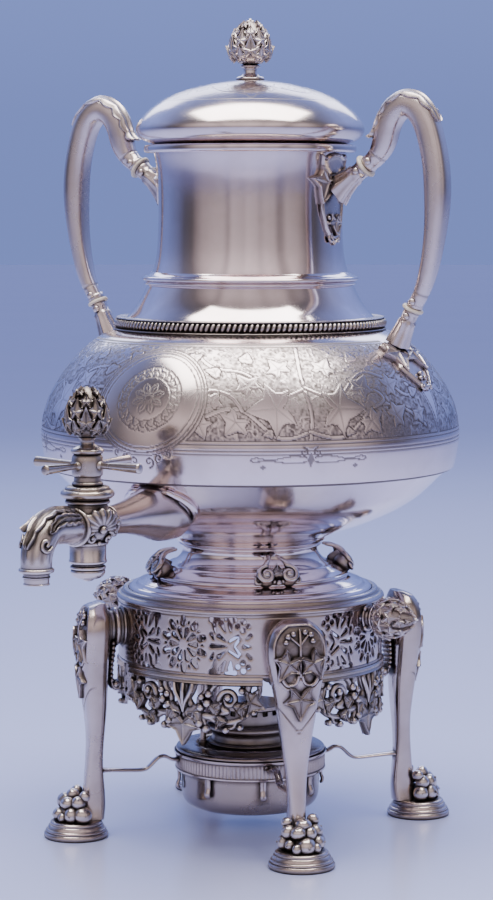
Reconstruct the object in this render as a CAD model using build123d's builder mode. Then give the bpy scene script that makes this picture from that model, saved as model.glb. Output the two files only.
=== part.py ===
from build123d import *
import math
import os

os.makedirs("parts", exist_ok=True)

# Silver hot-drink urn on a four-legged stand with a spirit lamp.
# Millimetres, +Z up, origin on the urn's axis at the level the feet stand on.
# Azimuth 0 is -Y (the tap side), positive towards +X.

# ---------------------------------------------------------------- driving dimensions
WALL = 2.0                # raised sheet of the vessel
FOOT_R = 95.8             # distance of each foot's centre from the axis
FOOT_DISC_R = 16.7
LEG_AZIMUTHS = (45.0, -45.0, 135.0, -135.0)
PANEL_AZIMUTHS = (0.0, 90.0, 180.0, -90.0)
LEG_BASE_Z = 9.0
LEG_TOP_Z = 124.8
GALLERY_R = 70.6
GALLERY_INNER_R = 68.7
GALLERY_LOW_Z = 92.8
GALLERY_TOP_Z = 125.0
SHELF_Z = 128.0           # the urn's foot stands here
SHELF_INNER_R = 58.0
RIM_INNER_R = 65.2
PIN_Z = 118.7             # axis of the two retaining pins
PIN_R = 2.2
PIN_CLEARANCE = 0.06
LAMP_RING_R = 40.3
LAMP_RING_INNER_R = 37.6
LAMP_RING_LOW_Z = 31.7
LAMP_RING_TOP_Z = 42.0
BOWL_R = 37.0
SKIRT_R = 57.8            # locating skirt below the urn's foot
BELT_Z = 195.6            # joint of the bulb's upper and lower halves
BAND_LOW_Z = 267.4
RIM_Z = 364.4             # top of the mouth wire, where the lid rests
BEZEL_R = 46.6
VALVE_Y = -160.0          # axis of the tap's plug
WATERWAY_Z = 180.0
PLUG_R = 6.0
PLUG_CLEARANCE = 0.05
SPOUT_Y = -204.5
ROD_REACH = 32.3
ROD_AZIMUTH = -6.15
POST_R = 25.6             # distance of the snuffer's post from the axis
POST_AZIMUTH = -50.65


def e_r(az):
    a = math.radians(az)
    return Vector(math.sin(a), -math.cos(a), 0)


def e_t(az):
    a = math.radians(az)
    return Vector(math.cos(a), math.sin(a), 0)


def side_plane(az):
    """x is the distance from the axis, y is the height."""
    return Plane(origin=(0, 0, 0), x_dir=e_r(az), z_dir=e_t(az) * -1)


def face_plane(az, r=0.0):
    """Looks at the urn from outside: x is sideways, y is the height."""
    return Plane(origin=e_r(az) * r, x_dir=e_t(az), z_dir=e_r(az))


def inner_line(pts, t):
    """Points one wall thickness inside an open profile that ends on two level planes."""
    res = []
    n = len(pts)
    for i in range(n):
        a = pts[max(i - 1, 0)]
        b = pts[min(i + 1, n - 1)]
        dx, dz = b[0] - a[0], b[1] - a[1]
        length = math.hypot(dx, dz)
        nx, nz = -abs(dz) / length, (dx / length if dz > 0 else -dx / length)
        if i in (0, n - 1):
            res.append((pts[i][0] - t / max(abs(nx), 0.35), pts[i][1]))
        else:
            res.append((pts[i][0] + nx * t, pts[i][1] + nz * t))
    lo, hi = sorted((pts[0][1], pts[-1][1]))
    return [res[0]] + [q for q in res[1:-1] if lo + 0.6 < q[1] < hi - 0.6] + [res[-1]]


def finish(piece, label):
    piece.part.label = label
    export_step(piece.part, "parts/" + label + ".step")


# ================================================================ the vessel
NECK = [(70.5, 267.4), (68.2, 270.5), (66.0, 273.5), (62.0, 277.8), (58.3, 283.1), (55.2, 289.4), (53.0, 294.2),
        (51.0, 300.0), (49.7, 306.5), (49.0, 314.5), (48.6, 325.0), (48.5, 335.5), (48.7, 345.0), (49.3, 352.0),
        (50.3, 357.4), (51.0, 361.0), (51.2, 364.4)]
BULB_UP = [(108.2, BELT_Z), (109.3, 200.2), (110.2, 205.4), (110.9, 212.0), (110.4, 219.0), (109.0, 226.0),
           (105.6, 234.5), (99.4, 244.6), (91.0, 254.8), (83.2, 261.6), (77.6, 265.2), (72.6, BAND_LOW_Z)]
BULB_LOW = [(40.3, 157.6), (47.0, 160.4), (55.0, 163.2), (63.0, 166.0), (77.9, 172.6), (89.8, 180.2), (97.6, 187.4),
            (105.9, BELT_Z)]

with BuildPart() as neck_shell:
    inner = inner_line(NECK, WALL)
    with BuildSketch(Plane.XZ):
        with BuildLine():
            Spline(*NECK)
            Line(NECK[-1], inner[-1])
            Spline(*inner)
            Line(inner[0], NECK[0])
        make_face()
    revolve(axis=Axis.Z)

# filled outline of the neck, used only to fit pieces to its surface
with BuildPart() as neck_core:
    with BuildSketch(Plane.XZ):
        with BuildLine():
            Spline(*NECK)
            Polyline(NECK[-1], (0, NECK[-1][1]), (0, NECK[0][1]), NECK[0])
        make_face()
    revolve(axis=Axis.Z)

with BuildPart() as body_upper:
    # the wall thickens to a small turned border at the belt
    inner = inner_line(BULB_UP, WALL)[1:]
    with BuildSketch(Plane.XZ):
        with BuildLine():
            Spline(*BULB_UP)
            Line(BULB_UP[-1], inner[-1])
            Spline(*([(106.6, 198.6)] + inner))
            Polyline((106.6, 198.6), (104.3, 197.4), (104.3, BELT_Z), BULB_UP[0])
        make_face()
    revolve(axis=Axis.Z)

with BuildPart() as bulb_core:
    with BuildSketch(Plane.XZ):
        with BuildLine():
            Spline(*BULB_UP)
            Polyline(BULB_UP[-1], (0, BAND_LOW_Z), (0, BELT_Z), BULB_UP[0])
        make_face()
    revolve(axis=Axis.Z)
    with BuildSketch(Plane.XZ):
        with BuildLine():
            Spline(*BULB_LOW)
            Polyline(BULB_LOW[-1], (0, BELT_Z), (0, 157.6), BULB_LOW[0])
        make_face()
    revolve(axis=Axis.Z)

with BuildPart() as body_lower:
    # dished lower half with a closed bottom
    inner = [(30.0, 160.2), (44.0, 161.6), (54.2, 165.1), (62.2, 168.0), (77.0, 174.5), (88.7, 182.0), (96.1, 188.8),
             (103.6, BELT_Z)]
    with BuildSketch(Plane.XZ):
        with BuildLine():
            Spline(*BULB_LOW)
            Line(BULB_LOW[-1], inner[-1])
            Spline(*inner)
            Polyline(inner[0], (0, 160.2), (0, 157.6), BULB_LOW[0])
        make_face()
    revolve(axis=Axis.Z)
    # waterway of the tap
    with BuildSketch(Plane(origin=(0, -70, WATERWAY_Z), x_dir=(1, 0, 0), z_dir=(0, -1, 0))):
        Circle(3.5)
    extrude(amount=40, mode=Mode.SUBTRACT)

with BuildPart() as rim_wire:
    with BuildSketch(Plane.XZ):
        with BuildLine():
            Polyline((50.0, 360.4), (55.2, 360.4), (55.8, 361.2), (55.8, 363.4), (55.2, RIM_Z), (50.0, RIM_Z), (50.0, 360.4))
        make_face()
    revolve(axis=Axis.Z)
    add(neck_core.part, mode=Mode.SUBTRACT)

with BuildPart() as neck_ring:
    with BuildSketch(Plane.XZ):
        with BuildLine():
            Polyline((51.0, 297.6), (52.6, 297.6), (55.4, 296.6), (57.2, 295.0), (57.2, 294.0), (55.8, 293.2),
                     (56.0, 292.2), (55.2, 291.0), (51.0, 291.0), (51.0, 297.6))
        make_face()
    revolve(axis=Axis.Z)
    add(neck_core.part, mode=Mode.SUBTRACT)

with BuildPart() as beaded_band:
    with BuildSketch(Plane.XZ):
        with BuildLine():
            Polyline((60.0, BAND_LOW_Z), (71.2, BAND_LOW_Z), (71.6, 268.2), (72.1, 269.4), (72.1, 272.6), (71.4, 273.8),
                     (70.2, 274.4), (60.0, 274.4), (60.0, BAND_LOW_Z))
        make_face()
    revolve(axis=Axis.Z)
    add(neck_core.part, mode=Mode.SUBTRACT)

# ---------------------------------------------------------------- pedestal and foot
with BuildPart() as pedestal:
    with BuildSketch(Plane.XZ):
        with BuildLine():
            Spline((40.3, 157.6), (38.9, 155.2), (36.6, 152.8), (36.2, 150.5), (37.2, 148.0), (39.6, 145.0), (42.6, 143.2))
            Polyline((42.6, 143.2), (44.0, 142.9))
            Spline((44.0, 142.9), (47.4, 140.9), (50.2, 138.4))
            Polyline((50.2, 138.4), (51.8, 138.0), (51.8, 136.6))
            Spline((51.8, 136.6), (55.2, 135.6), (58.6, 134.0))
            Polyline((58.6, 134.0), (52.0, 134.0), (49.0, 136.2), (46.0, 139.0), (42.0, 141.2), (37.6, 143.6), (35.0, 147.2),
                     (34.1, 150.5), (34.4, 153.6), (36.0, 155.6), (36.0, 157.6), (40.3, 157.6))
        make_face()
    revolve(axis=Axis.Z)

with BuildPart() as foot_flange:
    with BuildSketch(Plane.XZ):
        with BuildLine():
            Polyline((54.0, 134.0), (58.6, 134.0), (60.2, 133.4), (61.0, 132.2), (63.4, 131.6), (64.6, 130.9), (64.9, 130.0),
                     (64.9, SHELF_Z), (SKIRT_R, SHELF_Z), (SKIRT_R, 112.0), (54.4, 112.0), (54.0, 134.0))
        make_face()
    revolve(axis=Axis.Z)

with BuildPart() as pedestal_core:
    with BuildSketch(Plane.XZ):
        with BuildLine():
            Spline((40.3, 157.6), (38.9, 155.2), (36.6, 152.8), (36.2, 150.5), (37.2, 148.0), (39.6, 145.0), (42.6, 143.2))
            Polyline((42.6, 143.2), (44.0, 142.9))
            Spline((44.0, 142.9), (47.4, 140.9), (50.2, 138.4))
            Polyline((50.2, 138.4), (51.8, 138.0), (51.8, 136.6))
            Spline((51.8, 136.6), (55.2, 135.6), (58.6, 134.0))
            Polyline((58.6, 134.0), (58.6, 130.0), (0, 130.0), (0, 160.0), (40.3, 160.0), (40.3, 157.6))
        make_face()
    revolve(axis=Axis.Z)

# applied double-scroll brackets on the pedestal
with BuildPart() as pedestal_scrolls:
    for az in LEG_AZIMUTHS:
        with BuildSketch(side_plane(az)):
            with BuildLine():
                Spline((38.4, 154.6), (40.2, 150.6), (44.4, 147.4), (48.6, 146.4), (53.2, 144.6), (55.2, 141.0), (54.0, 137.8),
                       (51.2, 136.9))
                Polyline((51.2, 136.9), (40.0, 138.0), (34.0, 148.0), (35.0, 154.0), (38.4, 154.6))
            make_face()
        extrude(amount=9.5, both=True)
    for az in LEG_AZIMUTHS:
        with BuildSketch(face_plane(az, 30.0)):
            for side in (-1, 1):
                with BuildLine():
                    Polyline((side * 1.6, 156.0), (side * 12.0, 156.0), (side * 12.0, 147.6), (side * 5.0, 148.8), (side * 1.6, 156.0))
                make_face()
        extrude(amount=30, mode=Mode.SUBTRACT)
    add(pedestal_core.part, mode=Mode.SUBTRACT)

# ---------------------------------------------------------------- handles
HANDLE = [  # distance from the axis, height, thickness in the handle's plane, thickness across
    (69.2, 353.6, 8.6, 9.4), (74.2, 357.6, 10.0, 10.4), (78.5, 364.6, 12.2, 12.2), (80.9, 373.4, 12.8, 13.4),
    (85.8, 381.4, 13.0, 14.4), (92.9, 384.0, 13.2, 14.8), (99.9, 379.2, 13.2, 14.8), (104.9, 368.0, 13.0, 14.6),
    (108.0, 353.6, 12.9, 14.6), (109.0, 338.0, 12.7, 14.4), (108.0, 321.0, 10.6, 13.2), (105.0, 303.0, 8.9, 11.2),
    (100.6, 289.2, 8.2, 9.6), (96.0, 281.0, 7.8, 9.0)]
UPPER_DISC = ((67.4, 352.3), (0.81, 0.586))      # centre and direction of the joint at the neck
LOWER_DISC = ((95.1, 279.2), (-0.43, -0.903))    # and at the shoulder
DISC_T = 1.8
DISC_R = 6.4


def handle_sections(side):
    n = len(HANDLE)
    planes = []
    for i in range(n):
        a, b = HANDLE[max(i - 1, 0)], HANDLE[min(i + 1, n - 1)]
        tx, tz = b[0] - a[0], b[1] - a[1]
        if i == 0:
            tx, tz = UPPER_DISC[1]
        if i == n - 1:
            tx, tz = LOWER_DISC[1]
        planes.append((Plane(origin=(side * HANDLE[i][0], 0, HANDLE[i][1]), x_dir=(0, 1, 0), z_dir=(side * tx, 0, tz)),
                       HANDLE[i][2], HANDLE[i][3]))
    return planes


def disc_plane(side, disc, shift):
    (x, z), (dx, dz) = disc
    length = math.hypot(dx, dz)
    dx, dz = dx / length, dz / length
    return Plane(origin=(side * (x + dx * shift), 0, z + dz * shift), x_dir=(0, 1, 0), z_dir=(side * dx, 0, dz))


# the ends of each handle are flat faces square to the joint, one disc away from the socket
HANDLE[0] = (UPPER_DISC[0][0] + 0.81 * DISC_T, UPPER_DISC[0][1] + 0.586 * DISC_T, 8.6, 9.4)
HANDLE[-1] = (LOWER_DISC[0][0] + 0.43 * DISC_T, LOWER_DISC[0][1] + 0.903 * DISC_T, 7.8, 9.0)

handles, insulators, pins, upper_sockets, lower_sockets = {}, {}, {}, {}, {}
for side, word in ((1, "right"), (-1, "left")):
    # cross pins, one each side of every insulating disc
    with BuildPart() as cross_pins:
        for disc, shift, half in ((UPPER_DISC, 5.2, 5.6), (UPPER_DISC, -3.4, 5.4), (LOWER_DISC, -5.0, 5.4), (LOWER_DISC, 3.2, 5.2)):
            p = disc_plane(side, disc, shift)
            with BuildSketch(Plane(origin=p.origin, x_dir=(1, 0, 0), z_dir=(0, -1, 0))):
                Circle(1.35)
            extrude(amount=half, both=True)
    pins[word] = cross_pins

    with BuildPart() as handle:
        for plane, thick, wide in handle_sections(side):
            with BuildSketch(plane):
                Ellipse(wide / 2, thick / 2)
        loft()
        add(cross_pins.part, mode=Mode.SUBTRACT)
        for disc, shift in ((UPPER_DISC, 0.0), (LOWER_DISC, -DISC_T)):
            with BuildSketch(disc_plane(side, disc, shift)):
                Circle(9.0)
            extrude(amount=DISC_T, mode=Mode.SUBTRACT)
    handles[word] = handle

    # heat-insulating discs between handle and sockets
    with BuildPart() as discs:
        for disc, shift in ((UPPER_DISC, 0.0), (LOWER_DISC, 0.0)):
            with BuildSketch(disc_plane(side, disc, 0.0 if disc is UPPER_DISC else -DISC_T)):
                Circle(DISC_R if disc is UPPER_DISC else 5.6)
            extrude(amount=DISC_T)
    insulators[word] = discs

    # socket and shield on the neck
    with BuildPart() as upper_socket:
        with BuildSketch(Plane.XZ):
            with BuildLine():
                Polyline((47.0, 308.0), (51.9, 308.0), (51.0, 316.0), (50.7, 330.0), (51.0, 346.0), (52.0, 354.0), (53.0, 360.3), (47.0, 360.3),
                         (47.0, 308.0))
            make_face()
        revolve(axis=Axis.Z)
        with BuildSketch(Plane(origin=(side * 20, 0, 0), x_dir=(0, side, 0), z_dir=(side, 0, 0))):
            with Locations((0, 336.6)):
                Ellipse(13.2, 24.6)
        extrude(amount=60, mode=Mode.INTERSECT)
        for shift, wide, thick in ((0.0, 9.4, 8.6), (-9.0, 10.4, 10.4), (-20.0, 12.0, 19.0)):
            with BuildSketch(disc_plane(side, UPPER_DISC, shift)):
                Ellipse(wide / 2, thick / 2)
        loft()
        add(neck_core.part, mode=Mode.SUBTRACT)
        add(cross_pins.part, mode=Mode.SUBTRACT)
    upper_sockets[word] = upper_socket

    # socket and leaf plate on the shoulder
    with BuildPart() as lower_socket:
        outer = [(x + 1.7 * nx, z + 1.7 * nz) for (x, z), (nx, nz) in
                 ((BULB_UP[6], (0.9, 0.44)), (BULB_UP[7], (0.81, 0.59)), (BULB_UP[8], (0.72, 0.69)), (BULB_UP[9], (0.58, 0.81)),
                  (BULB_UP[10], (0.48, 0.88)))]
        with BuildSketch(Plane.XZ):
            with BuildLine():
                Spline(*outer)
                Polyline(outer[-1], (60.0, 262.0), (96.0, 230.0), outer[0])
            make_face()
        revolve(axis=Axis.Z)
        with BuildSketch(Plane(origin=(side * 40, 0, 0), x_dir=(0, side, 0), z_dir=(side, 0, 0))):
            with Locations((0, 251.5)):
                Ellipse(15.5, 14.0)
        extrude(amount=90, mode=Mode.INTERSECT)
        for shift, wide, thick in ((0.0, 9.0, 7.8), (7.0, 10.0, 9.0), (19.0, 14.0, 13.0)):
            with BuildSketch(disc_plane(side, LOWER_DISC, shift)):
                Ellipse(wide / 2, thick / 2)
        loft()
        add(bulb_core.part, mode=Mode.SUBTRACT)
        add(cross_pins.part, mode=Mode.SUBTRACT)
    lower_sockets[word] = lower_socket

# ---------------------------------------------------------------- tap, fixed pieces
with BuildPart() as spigot_plate:
    # scroll-edged oval plate that follows the bulb
    with BuildSketch(Plane.XZ):
        with BuildLine():
            Polyline((70.0, 171.0), (77.0, 169.6), (92.0, 179.2), (100.2, 187.0), (107.6, BELT_Z), (107.6, 199.0), (95.0, 199.0), (70.0, 171.0))
        make_face()
    revolve(axis=Axis.Z)
    with BuildSketch(Plane(origin=(0, -60, WATERWAY_Z + 1.0), x_dir=(1, 0, 0), z_dir=(0, -1, 0))):
        Ellipse(19.5, 14.5)
    extrude(amount=60, mode=Mode.INTERSECT)
    add(bulb_core.part, mode=Mode.SUBTRACT)
    with BuildSketch(Plane(origin=(0, -60, WATERWAY_Z), x_dir=(1, 0, 0), z_dir=(0, -1, 0))):
        Circle(3.5)
    extrude(amount=60, mode=Mode.SUBTRACT)

with BuildPart() as spigot_tube:
    with BuildSketch(Plane(origin=(0, 0, WATERWAY_Z), x_dir=(0, -1, 0), z_dir=(1, 0, 0))):
        with BuildLine():
            Spline((150.0, 7.0), (138.0, 7.2), (126.0, 8.2), (114.0, 10.4), (104.0, 13.0), (97.0, 14.6))
            Polyline((97.0, 14.6), (78.0, 15.4), (78.0, 3.5), (150.0, 3.5), (150.0, 7.0))
        make_face()
    revolve(axis=Axis((0, 0, WATERWAY_Z), (0, -1, 0)))
    add(bulb_core.part, mode=Mode.SUBTRACT)
    add(spigot_plate.part, mode=Mode.SUBTRACT)

with BuildPart() as valve_body:
    with BuildSketch(Plane(origin=(0, VALVE_Y, 0), x_dir=(1, 0, 0), z_dir=(0, -1, 0))):
        with BuildLine():
            Polyline((0, 161.3), (8.4, 161.3), (9.15, 161.9), (9.15, 171.4), (10.0, 172.4))
            Spline((10.0, 172.4), (12.0, 176.4), (12.2, 181.0), (11.4, 186.0), (10.0, 189.0))
            Polyline((10.0, 189.0), (10.0, 192.8), (0, 192.8), (0, 161.3))
        make_face()
    revolve(axis=Axis((0, VALVE_Y, 0), (0, 0, 1)))
    # inlet stub towards the vessel
    with BuildSketch(Plane(origin=(0, VALVE_Y, WATERWAY_Z), x_dir=(1, 0, 0), z_dir=(0, 1, 0))):
        Circle(8.4)
    extrude(amount=14.0)
    with BuildSketch(Plane(origin=(0, VALVE_Y + 10.0, WATERWAY_Z), x_dir=(1, 0, 0), z_dir=(0, 1, 0))):
        Circle(7.02)
    extrude(amount=6.0, mode=Mode.SUBTRACT)
    # outlet stub towards the spout
    with BuildSketch(Plane(origin=(0, VALVE_Y, WATERWAY_Z), x_dir=(1, 0, 0), z_dir=(0, -1, 0))):
        Circle(8.0)
    extrude(amount=13.0)
    # waterway and bore for the plug
    with BuildSketch(Plane(origin=(0, VALVE_Y + 16.0, WATERWAY_Z), x_dir=(1, 0, 0), z_dir=(0, -1, 0))):
        Circle(3.5)
    extrude(amount=32, mode=Mode.SUBTRACT)
    with BuildSketch(Plane(origin=(0, VALVE_Y, 164.0), x_dir=(1, 0, 0), z_dir=(0, 0, 1))):
        Circle(PLUG_R + PLUG_CLEARANCE)
    extrude(amount=40, mode=Mode.SUBTRACT)

with BuildPart() as valve_bonnet:
    # turned nut that closes the top of the valve
    with BuildSketch(Plane(origin=(0, VALVE_Y, 0), x_dir=(1, 0, 0), z_dir=(0, -1, 0))):
        with BuildLine():
            Polyline((PLUG_R + 0.25, 192.8), (11.2, 192.8), (12.2, 193.6))
            Spline((12.2, 193.6), (13.0, 195.2), (12.6, 196.8), (10.6, 198.4), (8.6, 199.0))
            Polyline((8.6, 199.0), (PLUG_R + 0.25, 199.0), (PLUG_R + 0.25, 192.8))
        make_face()
    revolve(axis=Axis((0, VALVE_Y, 0), (0, 0, 1)))

with BuildPart() as valve_cap:
    with BuildSketch(Plane(origin=(0, VALVE_Y, 0), x_dir=(1, 0, 0), z_dir=(0, -1, 0))):
        with BuildLine():
            Polyline((0, 161.3), (7.6, 161.3), (7.6, 160.5), (8.3, 160.5), (8.3, 157.6))
            Spline((8.3, 157.6), (7.4, 155.4), (5.0, 154.0), (2.4, 153.6))
            Polyline((2.4, 153.6), (2.4, 152.9), (0, 152.9), (0, 161.3))
        make_face()
    revolve(axis=Axis((0, VALVE_Y, 0), (0, 0, 1)))

with BuildPart() as spout:
    with BuildLine() as spout_path:
        FilletPolyline((0, VALVE_Y - 11.0, WATERWAY_Z), (0, SPOUT_Y, WATERWAY_Z + 3.0), (0, SPOUT_Y, 164.6), radius=14.0)
    with BuildSketch(Plane(origin=(0, VALVE_Y - 11.0, WATERWAY_Z), x_dir=(1, 0, 0), z_dir=spout_path.wires()[0] % 0)):
        Circle(7.9)
    sweep(path=spout_path.wires()[0])
    with BuildSketch(Plane(origin=(0, VALVE_Y - 11.0, WATERWAY_Z), x_dir=(1, 0, 0), z_dir=spout_path.wires()[0] % 0)):
        Circle(3.5)
    sweep(path=spout_path.wires()[0], mode=Mode.SUBTRACT)
    with BuildSketch(Plane(origin=(0, VALVE_Y - 13.0, WATERWAY_Z), x_dir=(1, 0, 0), z_dir=(0, 1, 0))):
        Rectangle(40, 40)
    extrude(amount=12, mode=Mode.SUBTRACT)

with BuildPart() as spout_nozzle:
    with BuildSketch(Plane(origin=(0, SPOUT_Y, 0), x_dir=(1, 0, 0), z_dir=(0, -1, 0))):
        with BuildLine():
            Polyline((4.0, 164.6), (8.2, 164.6), (8.2, 162.2), (5.9, 162.2), (5.9, 156.4), (4.0, 156.4), (4.0, 164.6))
        make_face()
    revolve(axis=Axis((0, SPOUT_Y, 0), (0, 0, 1)))

# ---------------------------------------------------------------- tap, turning pieces
with BuildPart() as tap_plug:
    with BuildSketch(Plane(origin=(0, VALVE_Y, 164.3), x_dir=(1, 0, 0), z_dir=(0, 0, 1))):
        Circle(PLUG_R)
    extrude(amount=34.9)
    # cross hole: shut at rest
    with BuildSketch(Plane(origin=(-10, VALVE_Y, WATERWAY_Z), x_dir=(0, 1, 0), z_dir=(1, 0, 0))):
        Circle(3.2)
    extrude(amount=20, mode=Mode.SUBTRACT)

with BuildPart() as tap_hub:
    with BuildSketch(Plane(origin=(0, VALVE_Y, 0), x_dir=(1, 0, 0), z_dir=(0, -1, 0))):
        with BuildLine():
            Polyline((0, 199.2), (7.2, 199.2), (7.2, 215.2), (7.9, 215.6), (7.9, 216.8), (6.4, 217.6), (3.4, 219.4), (3.4, 222.2), (0, 222.2),
                     (0, 199.2))
        make_face()
    revolve(axis=Axis((0, VALVE_Y, 0), (0, 0, 1)))
    # four tapered cross rods
    for k in range(4):
        d = e_r(ROD_AZIMUTH + 90 * k)
        for reach, radius in ((3.0, 1.4), (ROD_REACH, 2.45)):
            with BuildSketch(Plane(origin=(d.X * reach, VALVE_Y + d.Y * reach, 209.0), x_dir=(0, 0, 1), z_dir=d)):
                Circle(radius)
        loft()

with BuildPart() as tap_finial:
    with BuildSketch(Plane(origin=(0, VALVE_Y, 0), x_dir=(1, 0, 0), z_dir=(0, -1, 0))):
        with BuildLine():
            Polyline((0, 222.2), (4.4, 222.2))
            Spline((4.4, 222.2), (8.4, 224.6), (10.3, 229.6), (9.6, 235.6), (6.8, 241.6), (3.4, 245.6), (1.0, 247.0))
            Polyline((1.0, 247.0), (0, 247.0), (0, 222.2))
        make_face()
    revolve(axis=Axis((0, VALVE_Y, 0), (0, 0, 1)))

# ================================================================ the lid
with BuildPart() as lid_shell:
    with BuildSketch(Plane.XZ):
        with BuildLine():
            Line((0, 398.2), (6.4, 398.2))
            Spline((6.4, 398.2), (16.4, 397.0), (28.0, 394.6), (38.7, 391.2), (47.2, 387.0), (54.3, 381.6), (58.6, 376.6),
                   (60.2, 372.8), (59.2, 369.4), (56.4, 366.8), (53.0, 365.2), (51.0, RIM_Z))
            Polyline((51.0, RIM_Z), (BEZEL_R, RIM_Z), (BEZEL_R, 366.8), (51.6, 367.0))
            Spline((51.6, 367.0), (56.0, 369.6), (58.0, 372.8), (56.6, 376.2), (52.8, 380.0), (46.2, 384.8), (37.8, 389.0),
                   (27.5, 392.3), (16.0, 394.8), (6.0, 396.0))
            Polyline((6.0, 396.0), (0, 396.0), (0, 398.2))
        make_face()
    revolve(axis=Axis.Z)

with BuildPart() as lid_bezel:
    with BuildSketch(Plane.XY.offset(353.0)):
        Circle(BEZEL_R)
        Circle(BEZEL_R - 1.4, mode=Mode.SUBTRACT)
    extrude(amount=13.8)

with BuildPart() as lid_finial_base:
    with BuildSketch(Plane.XZ):
        with BuildLine():
            Polyline((0, 398.2), (7.2, 398.2), (7.4, 399.0), (6.8, 399.9), (4.6, 400.6), (3.6, 402.0), (3.5, 404.4), (4.2, 406.0), (0, 406.0),
                     (0, 398.2))
        make_face()
    revolve(axis=Axis.Z)

with BuildPart() as lid_finial:
    with BuildSketch(Plane.XZ):
        with BuildLine():
            Line((0, 406.0), (4.2, 406.0))
            Spline((4.2, 406.0), (9.0, 408.4), (10.8, 412.6), (10.2, 418.0), (7.4, 424.0), (3.6, 428.2), (1.0, 429.5))
            Polyline((1.0, 429.5), (0, 429.5), (0, 406.0))
        make_face()
    revolve(axis=Axis.Z)

# ================================================================ the stand
with BuildPart() as stand_top_rim:
    with BuildSketch(Plane.XZ):
        with BuildLine():
            Polyline((SHELF_INNER_R, GALLERY_TOP_Z), (70.8, GALLERY_TOP_Z), (71.3, 125.8), (71.0, 127.2), (69.8, 128.2), (68.6, 128.6), (68.0, 129.6),
                     (66.8, 130.4), (RIM_INNER_R, 130.4), (RIM_INNER_R, SHELF_Z), (SHELF_INNER_R, SHELF_Z), (SHELF_INNER_R, GALLERY_TOP_Z))
        make_face()
    revolve(axis=Axis.Z)

with BuildPart() as gallery_band:
    with BuildSketch(Plane.XY.offset(GALLERY_LOW_Z)):
        Circle(GALLERY_R)
        Circle(GALLERY_INNER_R, mode=Mode.SUBTRACT)
    extrude(amount=GALLERY_TOP_Z - GALLERY_LOW_Z)
    with BuildSketch(Plane(origin=(-90, 0, PIN_Z), x_dir=(0, 1, 0), z_dir=(1, 0, 0))):
        Circle(PIN_R + PIN_CLEARANCE)
    extrude(amount=180, mode=Mode.SUBTRACT)

# pendant leaf-scroll aprons with their top rails, one between each pair of legs
APRON = [(0.0, 58.5), (2.6, 63.6), (6.4, 67.6), (9.0, 65.0), (12.2, 65.6), (15.0, 69.6), (21.0, 68.6), (27.0, 71.0), (31.6, 75.0), (34.4, 80.0),
         (36.4, 86.0), (37.6, 88.4)]
aprons = {}
for az, word in ((0.0, "front"), (90.0, "right"), (180.0, "rear"), (-90.0, "left")):
    with BuildPart() as apron:
        with BuildSketch(Plane.XY.offset(50.0)):
            Circle(69.8)
            Circle(67.6, mode=Mode.SUBTRACT)
        extrude(amount=38.4)
        with BuildSketch(Plane.XY.offset(88.4)):
            Circle(72.2)
            Circle(67.6, mode=Mode.SUBTRACT)
        extrude(amount=4.4)
        with BuildSketch(face_plane(az, 30.0)):
            with BuildLine():
                Polyline(*([(-s, z) for s, z in reversed(APRON)] + [(s, z) for s, z in APRON[1:]] + [(37.6, 95.0), (-37.6, 95.0), (-37.6, 88.4)]))
            make_face()
        extrude(amount=60, mode=Mode.INTERSECT)
    aprons[word] = apron

# cabriole legs: side outline crossed with the face outline
LEG_OUTER = [(84.2, LEG_TOP_Z), (89.4, 122.4), (92.6, 116.0), (93.6, 107.0), (92.7, 83.4), (90.9, 66.0), (89.9, 54.0), (90.5, 39.2), (91.8, 24.0), (92.6, LEG_BASE_Z)]
LEG_INNER = [(81.0, LEG_BASE_Z), (80.2, 16.0), (80.6, 26.0), (81.4, 39.0), (80.6, 56.0), (79.6, 69.0), (79.0, 90.0), (78.8, 118.0), (80.0, LEG_TOP_Z)]
LEG_HALF = [(5.6, LEG_BASE_Z), (4.6, 16.0), (4.4, 25.5), (5.15, 42.5), (7.85, 63.2), (11.05, 83.7), (13.6, 96.0), (15.5, 108.0), (14.6, 115.6),
            (11.2, 121.0), (6.0, 124.0)]
legs = {}
for az, word in ((45.0, "front_right"), (-45.0, "front_left"), (135.0, "rear_right"), (-135.0, "rear_left")):
    with BuildPart() as leg:
        with BuildSketch(side_plane(az)):
            with BuildLine():
                Spline(*LEG_OUTER)
                Line(LEG_OUTER[-1], LEG_INNER[0])
                Spline(*LEG_INNER)
                Line(LEG_INNER[-1], LEG_OUTER[0])
            make_face()
        extrude(amount=20, both=True)
        with BuildSketch(face_plane(az, 60.0)):
            with BuildLine():
                Spline(*LEG_HALF)
                Line(LEG_HALF[-1], (-LEG_HALF[-1][0], LEG_HALF[-1][1] ))
                Spline(*[(-s, z) for s, z in LEG_HALF])
                Line((-LEG_HALF[0][0], LEG_HALF[0][1]), LEG_HALF[0])
            make_face()
        extrude(amount=60, mode=Mode.INTERSECT)
    legs[word] = leg

# fluted scroll brackets between the gallery and the legs
with BuildPart() as leg_brackets:
    for az in LEG_AZIMUTHS:
        with BuildSketch(side_plane(az)):
            with BuildLine():
                Polyline((66.0, 121.0), (72.0, 121.6), (78.0, 124.0), (84.0, 124.0), (84.0, 80.0), (78.0, 76.0), (73.6, 77.6), (72.6, 82.4), (75.0, 86.6),
                         (74.6, 93.6), (66.0, 93.6), (66.0, 121.0))
            make_face()
        extrude(amount=7.0, both=True)
    with BuildSketch(Plane.XY.offset(60.0)):
        Circle(GALLERY_R)
    extrude(amount=80, mode=Mode.SUBTRACT)
    for piece in legs.values():
        add(piece.part, mode=Mode.SUBTRACT)
    for piece in aprons.values():
        add(piece.part, mode=Mode.SUBTRACT)
    add(stand_top_rim.part, mode=Mode.SUBTRACT)

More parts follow.
